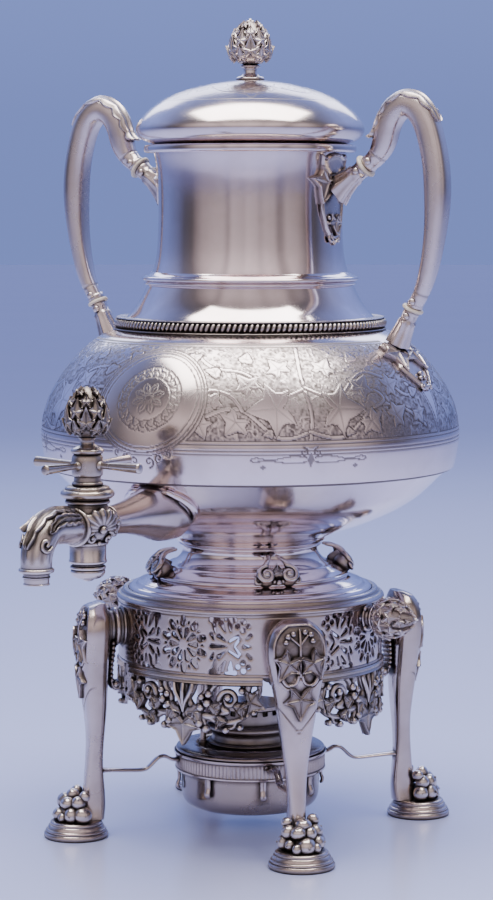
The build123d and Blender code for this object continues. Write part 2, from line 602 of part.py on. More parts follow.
feet = {}
for az, word in ((45.0, "front_right"), (-45.0, "front_left"), (135.0, "rear_right"), (-135.0, "rear_left")):
    with BuildPart() as foot:
        c = e_r(az) * FOOT_R
        with BuildSketch(Plane(origin=(c.X, c.Y, 0), x_dir=(1, 0, 0), z_dir=(0, -1, 0))):
            with BuildLine():
                Polyline((0, 0), (16.4, 0), (FOOT_DISC_R, 0.6), (FOOT_DISC_R, 3.8), (15.8, 4.8), (15.2, 5.2), (15.0, 6.4), (13.6, 7.2), (13.2, LEG_BASE_Z),
                         (0, LEG_BASE_Z), (0, 0))
            make_face()
        revolve(axis=Axis((c.X, c.Y, 0), (0, 0, 1)))
    feet[word] = foot

# clusters of berries round the outside of each ankle: one cluster, turned to each leg
with BuildPart() as berry_cluster:
    for radial, tangent, height, size in ((99.0, 0.0, 11.5, 6.4), (103.4, 0.0, 12.8, 4.1), (99.8, 6.9, 12.9, 4.0), (99.8, -6.9, 12.9, 4.0), (94.4, 8.8, 12.7, 3.9),
                                          (94.4, -8.8, 12.7, 3.9), (100.6, 3.5, 18.3, 3.7), (100.6, -3.5, 18.3, 3.7), (96.0, 6.9, 18.8, 3.6),
                                          (96.0, -6.9, 18.8, 3.6), (97.4, 0.0, 22.1, 3.5)):
        with Locations((radial, tangent, height)):
            Sphere(size)
    with BuildSketch(Plane.XY):
        Rectangle(400, 400)
    extrude(amount=LEG_BASE_Z, mode=Mode.SUBTRACT)
    # hollowed where the leg stands, with the leg's own outer curve
    with BuildSketch(Plane.XZ):
        with BuildLine():
            Spline(*LEG_OUTER)
            Polyline(LEG_OUTER[-1], (60.0, LEG_BASE_Z), (60.0, LEG_TOP_Z), LEG_OUTER[0])
        make_face()
    extrude(amount=6.2, both=True, mode=Mode.SUBTRACT)
with BuildPart() as foot_berries:
    for az in LEG_AZIMUTHS:
        add(berry_cluster.part.rotate(Axis.Z, az - 90.0))

# ring that holds the lamp, carried by four thin straps
with BuildPart() as lamp_ring:
    with BuildSketch(Plane.XZ):
        with BuildLine():
            Polyline((LAMP_RING_INNER_R, LAMP_RING_LOW_Z), (39.9, LAMP_RING_LOW_Z), (LAMP_RING_R, 32.3), (LAMP_RING_R, 41.0), (40.9, 41.2), (40.9, LAMP_RING_TOP_Z),
                     (LAMP_RING_INNER_R, LAMP_RING_TOP_Z), (LAMP_RING_INNER_R, LAMP_RING_LOW_Z))
        make_face()
    revolve(axis=Axis.Z)

    # eight turned-in prongs below the ring
    for k in range(8):
        az = 39.35 + 45.0 * k
        with BuildSketch(side_plane(az)):
            with BuildLine():
                Polyline((37.7, LAMP_RING_LOW_Z), (39.9, LAMP_RING_LOW_Z), (39.6, 27.0), (40.6, 24.6), (40.2, 22.4), (38.2, 22.0), (37.7, 24.0), (37.7, LAMP_RING_LOW_Z))
            make_face()
        extrude(amount=1.5, both=True)

with BuildPart() as lamp_ring_arms:
    for az in LEG_AZIMUTHS:
        with BuildSketch(side_plane(az)):
            with BuildLine():
                Polyline((38.0, 37.4), (43.6, 37.4), (47.2, 39.2), (50.2, 38.8), (55.0, 34.6), (58.0, 32.9), (64.0, 32.6), (86.0, 33.6), (86.0, 35.6),
                         (64.0, 34.6), (59.0, 34.9), (56.2, 36.4), (51.4, 40.8), (47.0, 41.2), (43.0, 39.4), (38.0, 39.4), (38.0, 37.4))
            make_face()
        extrude(amount=2.6, both=True)
    with BuildSketch(Plane.XY.offset(20.0)):
        Circle(LAMP_RING_R)
    extrude(amount=30, mode=Mode.SUBTRACT)
    for piece in legs.values():
        add(piece.part, mode=Mode.SUBTRACT)

# pins that hold the urn's foot, their bosses on the gallery
with BuildPart() as pin_bosses:
    for side in (1, -1):
        with BuildSketch(Plane(origin=(side * 66.0, 0, PIN_Z), x_dir=(0, 1, 0), z_dir=(side, 0, 0))):
            Rectangle(11.0, 11.6)
        extrude(amount=7.2)
    with BuildSketch(Plane.XY.offset(100.0)):
        Circle(GALLERY_R)
    extrude(amount=25.0, mode=Mode.SUBTRACT)
    with BuildSketch(Plane(origin=(-90, 0, PIN_Z), x_dir=(0, 1, 0), z_dir=(1, 0, 0))):
        Circle(PIN_R + PIN_CLEARANCE)
    extrude(amount=180, mode=Mode.SUBTRACT)

retaining = {}
for side, word in ((1, "right"), (-1, "left")):
    with BuildPart() as pin:
        with BuildSketch(Plane(origin=(0, 0, PIN_Z), x_dir=(side, 0, 0), z_dir=(0, -side, 0))):
            with BuildLine():
                Polyline((SKIRT_R + 0.12, 0), (SKIRT_R + 0.12, PIN_R), (73.4, PIN_R), (73.4, 5.6), (74.6, 6.4))
                Spline((74.6, 6.4), (78.0, 9.4), (83.0, 9.8), (89.0, 8.2), (94.2, 4.8), (97.8, 1.4))
                Polyline((97.8, 1.4), (98.0, 0), (SKIRT_R + 0.12, 0))
            make_face()
        revolve(axis=Axis((0, 0, PIN_Z), (1, 0, 0)))
    retaining[word] = pin

# ================================================================ the spirit lamp
with BuildPart() as lamp_bowl:
    with BuildSketch(Plane.XZ):
        with BuildLine():
            Line((0, 11.9), (30.0, 11.9))
            Spline((30.0, 11.9), (34.4, 13.6), (36.6, 17.6), (BOWL_R, 22.0))
            Polyline((BOWL_R, 22.0), (BOWL_R, 42.0), (35.2, 42.0), (35.2, 22.0), (34.6, 18.2), (32.8, 15.2), (29.6, 13.9), (0, 13.9), (0, 11.9))
        make_face()
    revolve(axis=Axis.Z)

with BuildPart() as lamp_shoulder:
    with BuildSketch(Plane.XZ):
        with BuildLine():
            Polyline((12.2, 43.0), (33.0, 42.0), (39.4, 42.0), (39.9, 42.8), (39.7, 43.8), (38.6, 44.6), (36.0, 45.0), (30.0, 45.4), (25.0, 45.6), (12.2, 45.6),
                     (12.2, 43.0))
        make_face()
    revolve(axis=Axis.Z)

with BuildPart() as lamp_collar:
    with BuildSketch(Plane.XZ):
        with BuildLine():
            Polyline((17.0, 45.6), (22.6, 45.6), (23.2, 46.4), (22.6, 47.4), (20.8, 47.8), (20.4, 50.4), (21.0, 52.2), (22.6, 53.0), (23.1, 54.7), (22.5, 56.4),
                     (20.6, 57.2), (17.0, 57.2), (17.0, 45.6))
        make_face()
    revolve(axis=Axis.Z)

with BuildPart() as burner_crown:
    with BuildSketch(Plane.XY.offset(57.2)):
        Circle(19.0)
        Circle(17.4, mode=Mode.SUBTRACT)
    extrude(amount=7.6)
    with BuildSketch(Plane.XY.offset(61.4)):
        with PolarLocations(18.2, 20):
            Rectangle(5.0, 2.6)
    extrude(amount=6.0, mode=Mode.SUBTRACT)

with BuildPart() as wick_tube:
    with BuildSketch(Plane.XY.offset(30.0)):
        Circle(12.2)
        Circle(11.0, mode=Mode.SUBTRACT)
    extrude(amount=31.0)

with BuildPart() as wick:
    with BuildSketch(Plane.XY.offset(16.0)):
        Circle(11.0)
        Circle(6.0, mode=Mode.SUBTRACT)
    extrude(amount=47.0)

post = e_r(POST_AZIMUTH) * POST_R
with BuildPart() as snuffer_post:
    with BuildSketch(Plane(origin=(post.X, post.Y, 0), x_dir=(1, 0, 0), z_dir=(0, -1, 0))):
        with BuildLine():
            Polyline((0, 44.0), (2.2, 44.0), (2.2, 47.2), (1.6, 47.6), (1.6, 57.4), (0.9, 57.4), (0.9, 59.3), (1.5, 59.3), (2.1, 60.4), (1.9, 61.8), (0.9, 62.7),
                     (0, 62.8), (0, 44.0))
        make_face()
    revolve(axis=Axis((post.X, post.Y, 0), (0, 0, 1)))
    add(lamp_shoulder.part, mode=Mode.SUBTRACT)

with BuildPart() as snuffer:
    # cap over the burner, on an arm that turns about the post
    with BuildSketch(Plane.XY.offset(65.4)):
        Circle(19.6)
    extrude(amount=1.6)
    with BuildSketch(side_plane(POST_AZIMUTH)):
        with BuildLine():
            Polyline((19.4, 57.5), (POST_R, 57.5), (POST_R, 59.1), (21.2, 59.1), (21.2, 67.0), (15.0, 67.0), (15.0, 65.4), (19.9, 65.4), (19.9, 59.1),
                     (19.4, 57.5))
        make_face()
    extrude(amount=2.0, both=True)
    with BuildSketch(Plane(origin=(post.X, post.Y, 57.5))):
        Circle(2.7)
    extrude(amount=1.6)
    with BuildSketch(Plane(origin=(post.X, post.Y, 50.0))):
        Circle(0.98)
    extrude(amount=20, mode=Mode.SUBTRACT)

# ================================================================ export
finish(neck_shell, "neck_shell")
finish(body_upper, "body_upper")
finish(body_lower, "body_lower")
finish(rim_wire, "rim_wire")
finish(neck_ring, "neck_ring")
finish(beaded_band, "beaded_band")
finish(pedestal, "pedestal")
finish(foot_flange, "foot_flange")
finish(pedestal_scrolls, "pedestal_scrolls")
with BuildPart() as handle_insulators:
    add(insulators["right"].part)
    add(insulators["left"].part)
finish(handle_insulators, "handle_insulators")
with BuildPart() as handle_pins:
    add(pins["right"].part)
    add(pins["left"].part)
finish(handle_pins, "handle_pins")
for word in ("right", "left"):
    finish(handles[word], "handle_" + word)
    finish(upper_sockets[word], "upper_socket_" + word)
    finish(lower_sockets[word], "lower_socket_" + word)
    finish(retaining[word], "retaining_pin_" + word)
finish(spigot_plate, "spigot_plate")
finish(spigot_tube, "spigot_tube")
finish(valve_body, "valve_body")
finish(valve_bonnet, "valve_bonnet")
finish(valve_cap, "valve_cap")
finish(spout, "spout")
finish(spout_nozzle, "spout_nozzle")
finish(tap_plug, "tap_plug")
finish(tap_hub, "tap_hub")
finish(tap_finial, "tap_finial")
finish(lid_shell, "lid_shell")
finish(lid_bezel, "lid_bezel")
finish(lid_finial_base, "lid_finial_base")
finish(lid_finial, "lid_finial")
finish(stand_top_rim, "stand_top_rim")
finish(gallery_band, "gallery_band")
for word, piece in aprons.items():
    finish(piece, "apron_" + word)
for word, piece in legs.items():
    finish(piece, "leg_" + word)
finish(leg_brackets, "leg_brackets")
for word, piece in feet.items():
    finish(piece, "foot_" + word)
finish(foot_berries, "foot_berries")
finish(lamp_ring, "lamp_ring")
finish(lamp_ring_arms, "lamp_ring_arms")
finish(pin_bosses, "pin_bosses")
finish(lamp_bowl, "lamp_bowl")
finish(lamp_shoulder, "lamp_shoulder")
finish(lamp_collar, "lamp_collar")
finish(burner_crown, "burner_crown")
finish(wick_tube, "wick_tube")
finish(wick, "wick")
finish(snuffer_post, "snuffer_post")
finish(snuffer, "snuffer")
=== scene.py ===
import bpy
import math
import numpy as np
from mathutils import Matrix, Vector


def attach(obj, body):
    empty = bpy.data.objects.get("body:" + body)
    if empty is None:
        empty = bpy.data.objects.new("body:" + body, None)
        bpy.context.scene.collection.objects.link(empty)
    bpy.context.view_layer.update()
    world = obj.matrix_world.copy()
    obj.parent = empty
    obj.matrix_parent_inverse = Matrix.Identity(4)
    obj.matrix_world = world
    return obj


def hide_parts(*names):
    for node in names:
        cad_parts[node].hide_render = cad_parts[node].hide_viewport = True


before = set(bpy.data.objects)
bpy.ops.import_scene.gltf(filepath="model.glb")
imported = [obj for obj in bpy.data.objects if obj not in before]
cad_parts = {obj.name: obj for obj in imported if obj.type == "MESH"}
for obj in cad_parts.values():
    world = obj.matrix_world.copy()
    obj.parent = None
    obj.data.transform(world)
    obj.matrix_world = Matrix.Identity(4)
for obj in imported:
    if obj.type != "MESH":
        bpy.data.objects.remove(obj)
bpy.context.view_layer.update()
rng = np.random.default_rng(11)
TAU = 2 * math.pi


# ------------------------------------------------------------------ camera (first)
VIEW_AZ = math.radians(29.35)
CAM_D, CAM_H, CAM_TILT = 1.42024, 0.33730, math.radians(5.402)
right = Vector((math.cos(VIEW_AZ), math.sin(VIEW_AZ), 0))
cam_data = bpy.data.cameras.new("camera")
cam_data.sensor_width = 36.0
cam_data.lens = 36.0 * 2679.7 / 900.0
cam_data.clip_start = 0.05
cam_data.clip_end = 30.0
camera = bpy.data.objects.new("camera", cam_data)
camera.location = Vector((CAM_D * math.sin(VIEW_AZ), -CAM_D * math.cos(VIEW_AZ), CAM_H)) - right * 0.0020
look = Vector((-math.sin(VIEW_AZ) * math.cos(CAM_TILT), math.cos(VIEW_AZ) * math.cos(CAM_TILT), -math.sin(CAM_TILT)))
camera.rotation_euler = look.to_track_quat("-Z", "Y").to_euler()
bpy.context.scene.collection.objects.link(camera)
bpy.context.scene.camera = camera


# ------------------------------------------------------------------ materials
def new_material(name):
    m = bpy.data.materials.new(name)
    m.use_nodes = True
    nt = m.node_tree
    nt.nodes.clear()
    out = nt.nodes.new("ShaderNodeOutputMaterial")
    bsdf = nt.nodes.new("ShaderNodeBsdfPrincipled")
    nt.links.new(bsdf.outputs["BSDF"], out.inputs["Surface"])
    return m, nt, bsdf


def node(nt, kind, **values):
    n = nt.nodes.new(kind)
    for k, v in values.items():
        if k in n.inputs:
            n.inputs[k].default_value = v
        else:
            setattr(n, k, v)
    return n


def math_node(nt, op, a, b=None, clamp=False):
    n = nt.nodes.new("ShaderNodeMath")
    n.operation = op
    n.use_clamp = clamp
    for i, x in enumerate((a, b)):
        if x is None:
            continue
        if isinstance(x, (int, float)):
            n.inputs[i].default_value = x
        else:
            nt.links.new(x, n.inputs[i])
    return n.outputs[0]


def ramp(nt, fac, stops):
    n = nt.nodes.new("ShaderNodeValToRGB")
    while len(n.color_ramp.elements) < len(stops):
        n.color_ramp.elements.new(0.5)
    for e, (p, c) in zip(n.color_ramp.elements, stops):
        e.position = p
        e.color = (c[0], c[1], c[2], 1) if not isinstance(c, (int, float)) else (c, c, c, 1)
    nt.links.new(fac, n.inputs["Fac"])
    return n.outputs["Color"]


def silver(name, base=(0.80, 0.765, 0.74), tarnish=(0.60, 0.53, 0.47), rough=(0.10, 0.22), cavity=0.0, cavity_size=0.0025, dents=0.10, dark=(0.055, 0.045, 0.038),
           relief=1.0):
    """Silver plate: slightly uneven polish, fine wiping scratches, faint tarnish, dark oxide in the recesses; the
    'dark' attribute also carries a painted shade line at the bulb's seam.
    """
    m, nt, bsdf = new_material(name)
    bsdf.inputs["Metallic"].default_value = 1.0
    tc = nt.nodes.new("ShaderNodeTexCoord")
    obj = tc.outputs["Object"]
    big = node(nt, "ShaderNodeTexNoise", Scale=26.0, Detail=3.0, Roughness=0.55)
    nt.links.new(obj, big.inputs["Vector"])
    fine = node(nt, "ShaderNodeTexNoise", Scale=900.0, Detail=2.0, Roughness=0.6)
    nt.links.new(obj, fine.inputs["Vector"])
    cloud = node(nt, "ShaderNodeTexNoise", Scale=11.0, Detail=5.0, Roughness=0.62)
    nt.links.new(obj, cloud.inputs["Vector"])
    tint = ramp(nt, cloud.outputs["Fac"], [(0.36, tarnish), (0.56, base), (1.0, base)])
    mix = nt.nodes.new("ShaderNodeMix")
    mix.data_type = "RGBA"
    attr = nt.nodes.new("ShaderNodeAttribute")
    attr.attribute_name = "dark"
    fac = attr.outputs["Fac"]
    if cavity > 0:
        ao = nt.nodes.new("ShaderNodeAmbientOcclusion")
        ao.samples = 6
        ao.inputs["Distance"].default_value = cavity_size
        shade = math_node(nt, "SUBTRACT", 1.0, ao.outputs["AO"])
        shade = math_node(nt, "MULTIPLY", shade, cavity * 2.0, clamp=True)
        fac = math_node(nt, "MAXIMUM", fac, shade)
    fac = math_node(nt, "MULTIPLY", fac, 0.97, clamp=True)
    nt.links.new(fac, mix.inputs["Factor"])
    nt.links.new(tint, mix.inputs["A"])
    mix.inputs["B"].default_value = (*dark, 1)
    nt.links.new(mix.outputs["Result"], bsdf.inputs["Base Color"])
    r = nt.nodes.new("ShaderNodeMapRange")
    r.inputs["From Min"].default_value = 0.35
    r.inputs["From Max"].default_value = 0.70
    r.inputs["To Min"].default_value = rough[0]
    r.inputs["To Max"].default_value = rough[1]
    nt.links.new(big.outputs["Fac"], r.inputs["Value"])
    rr = math_node(nt, "ADD", r.outputs["Result"], math_node(nt, "MULTIPLY", fac, 0.35))
    rr = math_node(nt, "ADD", rr, math_node(nt, "MULTIPLY", fine.outputs["Fac"], 0.03), clamp=True)
    nt.links.new(rr, bsdf.inputs["Roughness"])
    b1 = nt.nodes.new("ShaderNodeBump")
    b1.inputs["Strength"].default_value = dents
    b1.inputs["Distance"].default_value = 0.0012
    nt.links.new(big.outputs["Fac"], b1.inputs["Height"])
    b2 = nt.nodes.new("ShaderNodeBump")
    b2.inputs["Strength"].default_value = 0.05
    b2.inputs["Distance"].default_value = 0.00008
    nt.links.new(fine.outputs["Fac"], b2.inputs["Height"])
    nt.links.new(b1.outputs["Normal"], b2.inputs["Normal"])
    nt.links.new(b2.outputs["Normal"], bsdf.inputs["Normal"])
    return m


POLISHED = silver("polished_silver", base=(0.79, 0.69, 0.695), tarnish=(0.63, 0.54, 0.52), rough=(0.07, 0.14), dents=0.07)
ENGRAVED = silver("engraved_silver", base=(0.80, 0.70, 0.695), tarnish=(0.65, 0.56, 0.53), rough=(0.11, 0.19), dents=0.07, dark=(0.075, 0.060, 0.052))
SATIN = silver("handle_silver", base=(0.66, 0.575, 0.555), tarnish=(0.52, 0.445, 0.41), rough=(0.18, 0.30), dents=0.12, cavity=0.6, cavity_size=0.002)
CAST = silver("cast_silver", base=(0.68, 0.60, 0.56), tarnish=(0.42, 0.355, 0.30), rough=(0.16, 0.30), cavity=1.45, cavity_size=0.0030, dents=0.30, dark=(0.040, 0.031, 0.026))
BUDMAT = silver("bud_silver", base=(0.70, 0.615, 0.585), tarnish=(0.52, 0.445, 0.40), rough=(0.16, 0.28), cavity=0.62, cavity_size=0.0020, dents=0.2, dark=(0.055, 0.044, 0.038))
PLATEMAT = silver("plate_silver", base=(0.68, 0.59, 0.565), tarnish=(0.50, 0.425, 0.38), rough=(0.15, 0.27), cavity=0.85, cavity_size=0.0026, dents=0.2, dark=(0.050, 0.040, 0.034))
STANDMAT = silver("stand_silver", base=(0.60, 0.51, 0.48), tarnish=(0.42, 0.345, 0.295), rough=(0.15, 0.27), cavity=1.15, cavity_size=0.0030, dents=0.18, dark=(0.045, 0.036, 0.030))
LAMPMAT = silver("lamp_silver", base=(0.38, 0.32, 0.295), tarnish=(0.25, 0.20, 0.165), rough=(0.13, 0.30), cavity=0.9, cavity_size=0.003, dents=0.25)
BURNT = silver("burnt_metal", base=(0.42, 0.37, 0.33), tarnish=(0.15, 0.12, 0.10), rough=(0.28, 0.5), cavity=1.0, cavity_size=0.003, dents=0.5)


def bone():
    m, nt, bsdf = new_material("bone")
    tc = nt.nodes.new("ShaderNodeTexCoord")
    n = node(nt, "ShaderNodeTexNoise", Scale=140.0, Detail=4.0)
    nt.links.new(tc.outputs["Object"], n.inputs["Vector"])
    c = ramp(nt, n.outputs["Fac"], [(0.3, (0.50, 0.42, 0.31)), (0.65, (0.74, 0.68, 0.56))])
    nt.links.new(c, bsdf.inputs["Base Color"])
    bsdf.inputs["Roughness"].default_value = 0.38
    b = nt.nodes.new("ShaderNodeBump")
    b.inputs["Strength"].default_value = 0.15
    b.inputs["Distance"].default_value = 0.0002
    nt.links.new(n.outputs["Fac"], b.inputs["Height"])
    nt.links.new(b.outputs["Normal"], bsdf.inputs["Normal"])
    return m


def cotton():
    m, nt, bsdf = new_material("cotton_wick")
    tc = nt.nodes.new("ShaderNodeTexCoord")
    w = node(nt, "ShaderNodeTexWave", Scale=900.0, Distortion=2.0)
    w.bands_direction = "Z"
    nt.links.new(tc.outputs["Object"], w.inputs["Vector"])
    c = ramp(nt, w.outputs["Fac"], [(0.2, (0.38, 0.33, 0.26)), (0.8, (0.66, 0.60, 0.50))])
    nt.links.new(c, bsdf.inputs["Base Color"])
    bsdf.inputs["Roughness"].default_value = 0.9
    bsdf.inputs["Sheen Weight"].default_value = 0.3
    b = nt.nodes.new("ShaderNodeBump")
    b.inputs["Strength"].default_value = 0.6
    b.inputs["Distance"].default_value = 0.0003
    nt.links.new(w.outputs["Fac"], b.inputs["Height"])
    nt.links.new(b.outputs["Normal"], bsdf.inputs["Normal"])
    return m


BONE = bone()
COTTON = cotton()

# ------------------------------------------------------------------ geometry kit (millimetres in, metres out)
def spline(pts, n=8):
    """Natural cubic through the points, n samples a span."""
    p = np.asarray(pts, float)
    m = len(p)
    if m < 3:
        t = np.linspace(0, 1, n + 1)[:, None]
        return p[0] * (1 - t) + p[-1] * t
    t = np.concatenate([[0], np.cumsum(np.sqrt(np.linalg.norm(np.diff(p, axis=0), axis=1) + 1e-12))])
    h = np.diff(t)
    A = np.zeros((m, m))
    B = np.zeros((m, p.shape[1]))
    A[0, 0] = A[-1, -1] = 1
    for i in range(1, m - 1):
        A[i, i - 1], A[i, i], A[i, i + 1] = h[i - 1], 2 * (h[i - 1] + h[i]), h[i]
        B[i] = 6 * ((p[i + 1] - p[i]) / h[i] - (p[i] - p[i - 1]) / h[i - 1])
    M = np.linalg.solve(A, B)
    out = []
    for i in range(m - 1):
        s = np.linspace(t[i], t[i + 1], n + 1)[: n if i < m - 2 else n + 1, None]
        a, b = (t[i + 1] - s) / h[i], (s - t[i]) / h[i]
        out.append(a * p[i] + b * p[i + 1] + ((a ** 3 - a) * M[i] + (b ** 3 - b) * M[i + 1]) * h[i] ** 2 / 6)
    return np.concatenate(out)


def chain(*runs):
    """Joins sampled runs, leaving out repeated points."""
    pts = [np.asarray(r, float) for r in runs]
    out = [pts[0]]
    for r in pts[1:]:
        if np.linalg.norm(out[-1][-1] - r[0]) < 1e-6:
            r = r[1:]
        out.append(r)
    return np.concatenate(out)


class Acc:
    """Collects shapes and makes one object of them."""

    def __init__(self):
        self.v, self.f, self.d, self.n = [], [], [], 0

    def add(self, v, faces, dark=0.0, matrix=None):
        v = np.asarray(v, float).reshape(-1, 3)
        if matrix is not None:
            v = v @ matrix[0].T + matrix[1]
        self.v.append(v)
        for f in faces if isinstance(faces, (list, tuple)) else [faces]:
            if len(f):
                self.f.append(np.asarray(f, np.int64) + self.n)
        self.d.append(np.full(len(v), dark, float) if np.isscalar(dark) else np.asarray(dark, float).reshape(-1))
        self.n += len(v)
        return self

    def build(self, name, mat, body, replaces=(), slot=None, angle=38.0, weld=False):
        v = np.concatenate(self.v) * 0.001
        d = np.concatenate(self.d)
        used = np.zeros(len(v), bool)
        for f in self.f:
            used[f.reshape(-1)] = True
        remap = np.cumsum(used) - 1
        v, d = v[used], d[used]
        faces = [remap[f] for f in self.f]
        loops = np.concatenate([f.reshape(-1) for f in faces])
        totals = np.concatenate([np.full(len(f), f.shape[1]) for f in faces])
        starts = np.concatenate([[0], np.cumsum(totals)[:-1]])
        me = bpy.data.meshes.new(name)
        me.vertices.add(len(v))
        me.vertices.foreach_set("co", v.astype(np.float32).reshape(-1))
        me.loops.add(len(loops))
        me.loops.foreach_set("vertex_index", loops.astype(np.int32))
        me.polygons.add(len(totals))
        me.polygons.foreach_set("loop_start", starts.astype(np.int32))
        me.polygons.foreach_set("loop_total", totals.astype(np.int32))
        a = me.attributes.new("dark", "FLOAT", "POINT")
        a.data.foreach_set("value", np.clip(d, 0, 1).astype(np.float32))
        me.update(calc_edges=True)
        me.validate()
        if weld:
            import bmesh
            bm = bmesh.new()
            bm.from_mesh(me)
            bmesh.ops.remove_doubles(bm, verts=bm.verts, dist=2e-6)
            bmesh.ops.dissolve_degenerate(bm, edges=bm.edges, dist=1e-7)
            bmesh.ops.recalc_face_normals(bm, faces=bm.faces)
            bm.to_mesh(me)
            bm.free()
        me.shade_smooth()
        me.set_sharp_from_angle(angle=math.radians(angle))
        me.materials.append(mat)
        o = bpy.data.objects.new(name, me)
        bpy.context.scene.collection.objects.link(o)
        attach(o, body)
        if replaces:
            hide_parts(*([replaces] if isinstance(replaces, str) else replaces))
        return o


def grid_faces(rows, cols, wrap_cols=False, wrap_rows=False, flip=False):
    i = np.arange(rows if wrap_rows else rows - 1)[:, None]
    j = np.arange(cols if wrap_cols else cols - 1)[None, :]
    a = i * cols + j
    b = i * cols + (j + 1) % cols
    c = ((i + 1) % rows) * cols + (j + 1) % cols
    d = ((i + 1) % rows) * cols + j
    f = np.stack([a, b, c, d], -1).reshape(-1, 4)
    return f[:, ::-1] if flip else f


def direction(az):
    return np.stack([np.sin(az), -np.cos(az)], -1)


def lathe(acc, profile, n=192, closed=True, dark=0.0, centre=(0.0, 0.0), radius_fn=None):
    """Turned piece: profile of (r, z) points, round a vertical axis through centre."""
    p = np.asarray(profile, float)
    if closed and np.linalg.norm(p[0] - p[-1]) < 1e-9:
        p = p[:-1]
    az = np.arange(n) * TAU / n
    r = np.repeat(p[:, 0][:, None], n, 1)
    z = np.repeat(p[:, 1][:, None], n, 1)
    if radius_fn is not None:
        r, z = radius_fn(r, z, az[None, :])
    v = np.stack([centre[0] + r * np.sin(az), centre[1] - r * np.cos(az), z], -1)
    d = dark if np.isscalar(dark) else np.repeat(np.asarray(dark)[:, None], n, 1)
    acc.add(v, [grid_faces(len(p), n, wrap_cols=True, wrap_rows=closed, flip=True)], d)
    return acc


def frames_along(path):
    p = np.asarray(path, float)
    t = np.gradient(p, axis=0)
    t /= np.linalg.norm(t, axis=1)[:, None] + 1e-12
    u = np.zeros_like(p)
    ref = np.array([0, 0, 1.0]) if abs(t[0, 2]) < 0.9 else np.array([1.0, 0, 0])
    u[0] = np.cross(ref, t[0])
    u[0] /= np.linalg.norm(u[0])
    for i in range(1, len(p)):
        w = u[i - 1] - t[i] * np.dot(u[i - 1], t[i])
        u[i] = w / (np.linalg.norm(w) + 1e-12)
    return t, u, np.cross(t, u)


def tube(acc, path, radius, sides=10, caps=True, dark=0.0, squash=None):
    """Round rod along a path; radius may vary; ends are rounded."""
    p = np.asarray(path, float)
    r = np.full(len(p), radius, float) if np.isscalar(radius) else np.asarray(radius, float)
    if caps:
        t0 = p[0] - p[1]
        t1 = p[-1] - p[-2]
        t0 /= np.linalg.norm(t0)
        t1 /= np.linalg.norm(t1)
        a = [p[0] + t0 * r[0] * s for s in (0.98, 0.75)]
        b = [p[-1] + t1 * r[-1] * s for s in (0.75, 0.98)]
        p = np.concatenate([[a[0]], [a[1]], p, [b[0]], [b[1]]])
        r = np.concatenate([[r[0] * 0.02, r[0] * 0.66], r, [r[-1] * 0.66, r[-1] * 0.02]])
    t, u, w = frames_along(p)
    th = np.arange(sides) * TAU / sides
    k = 1.0 if squash is None else squash
    v = p[:, None, :] + r[:, None, None] * (np.cos(th)[None, :, None] * u[:, None, :] + k * np.sin(th)[None, :, None] * w[:, None, :])
    f = grid_faces(len(p), sides, wrap_cols=True)
    caps_f = np.array([list(range(sides))[::-1], list(range((len(p) - 1) * sides, len(p) * sides))])
    d = dark if np.isscalar(dark) else np.zeros(v.shape[:2])
    acc.add(v, [f, caps_f], d)
    return acc


def ball(acc, c, r, dark=0.0, n=14, m=9, stretch=(1, 1, 1), matrix=None):
    th = np.linspace(0.02, math.pi - 0.02, m)
    ph = np.arange(n) * TAU / n
    v = np.stack([np.sin(th)[:, None] * np.cos(ph), np.sin(th)[:, None] * np.sin(ph), np.repeat(np.cos(th)[:, None], n, 1)], -1)
    v = v * r * np.asarray(stretch, float)
    if matrix is not None:
        v = v @ np.asarray(matrix).T
    v = v + np.asarray(c, float)
    caps_f = np.array([list(range(n)), list(range((m - 1) * n, m * n))[::-1]])
    acc.add(v, [grid_faces(m, n, wrap_cols=True, flip=True), caps_f], dark)
    return acc


class Surf:
    """A turned surface as a sheet: s runs sideways, t up the profile, h out of it. Outer profile in (r, z), listed upwards."""

    def __init__(self, profile, az=0.0, z=None, smooth=6, axis=None):
        p = spline(profile, smooth) if smooth else np.asarray(profile, float)
        self.p = p
        seg = np.linalg.norm(np.diff(p, axis=0), axis=1)
        self.t = np.concatenate([[0], np.cumsum(seg)])
        d = np.gradient(p, axis=0)
        d /= np.linalg.norm(d, axis=1)[:, None]
        self.n = np.stack([d[:, 1], -d[:, 0]], -1)
        self.az = math.radians(az)
        self.t0 = 0.0 if z is None else float(np.interp(z, p[:, 1], self.t))
        self.r0 = float(np.interp(self.t0, self.t, p[:, 0]))
        self.axis = axis

    def at(self, az, z):
        c = object.__new__(Surf)
        c.__dict__.update(self.__dict__)
        c.az = math.radians(az)
        c.t0 = float(np.interp(z, self.p[:, 1], self.t)) if self.p[-1, 1] > self.p[0, 1] else float(np.interp(-z, -self.p[:, 1], self.t))
        c.r0 = float(np.interp(c.t0, self.t, self.p[:, 0]))
        return c

    def __call__(self, s, t, h):
        tt = self.t0 + np.asarray(t, float)
        r, z = np.interp(tt, self.t, self.p[:, 0]), np.interp(tt, self.t, self.p[:, 1])
        nr, nz = np.interp(tt, self.t, self.n[:, 0]), np.interp(tt, self.t, self.n[:, 1])
        rr, zz = r + h * nr, z + h * nz
        az = self.az + np.asarray(s, float) / max(self.r0, 1e-3)
        v = np.stack([rr * np.sin(az), -rr * np.cos(az), zz], -1)
        if self.axis is not None:
            v = v @ self.axis[0].T + self.axis[1]
        return v


def rot2(a):
    return np.array([[math.cos(a), -math.sin(a)], [math.sin(a), math.cos(a)]])


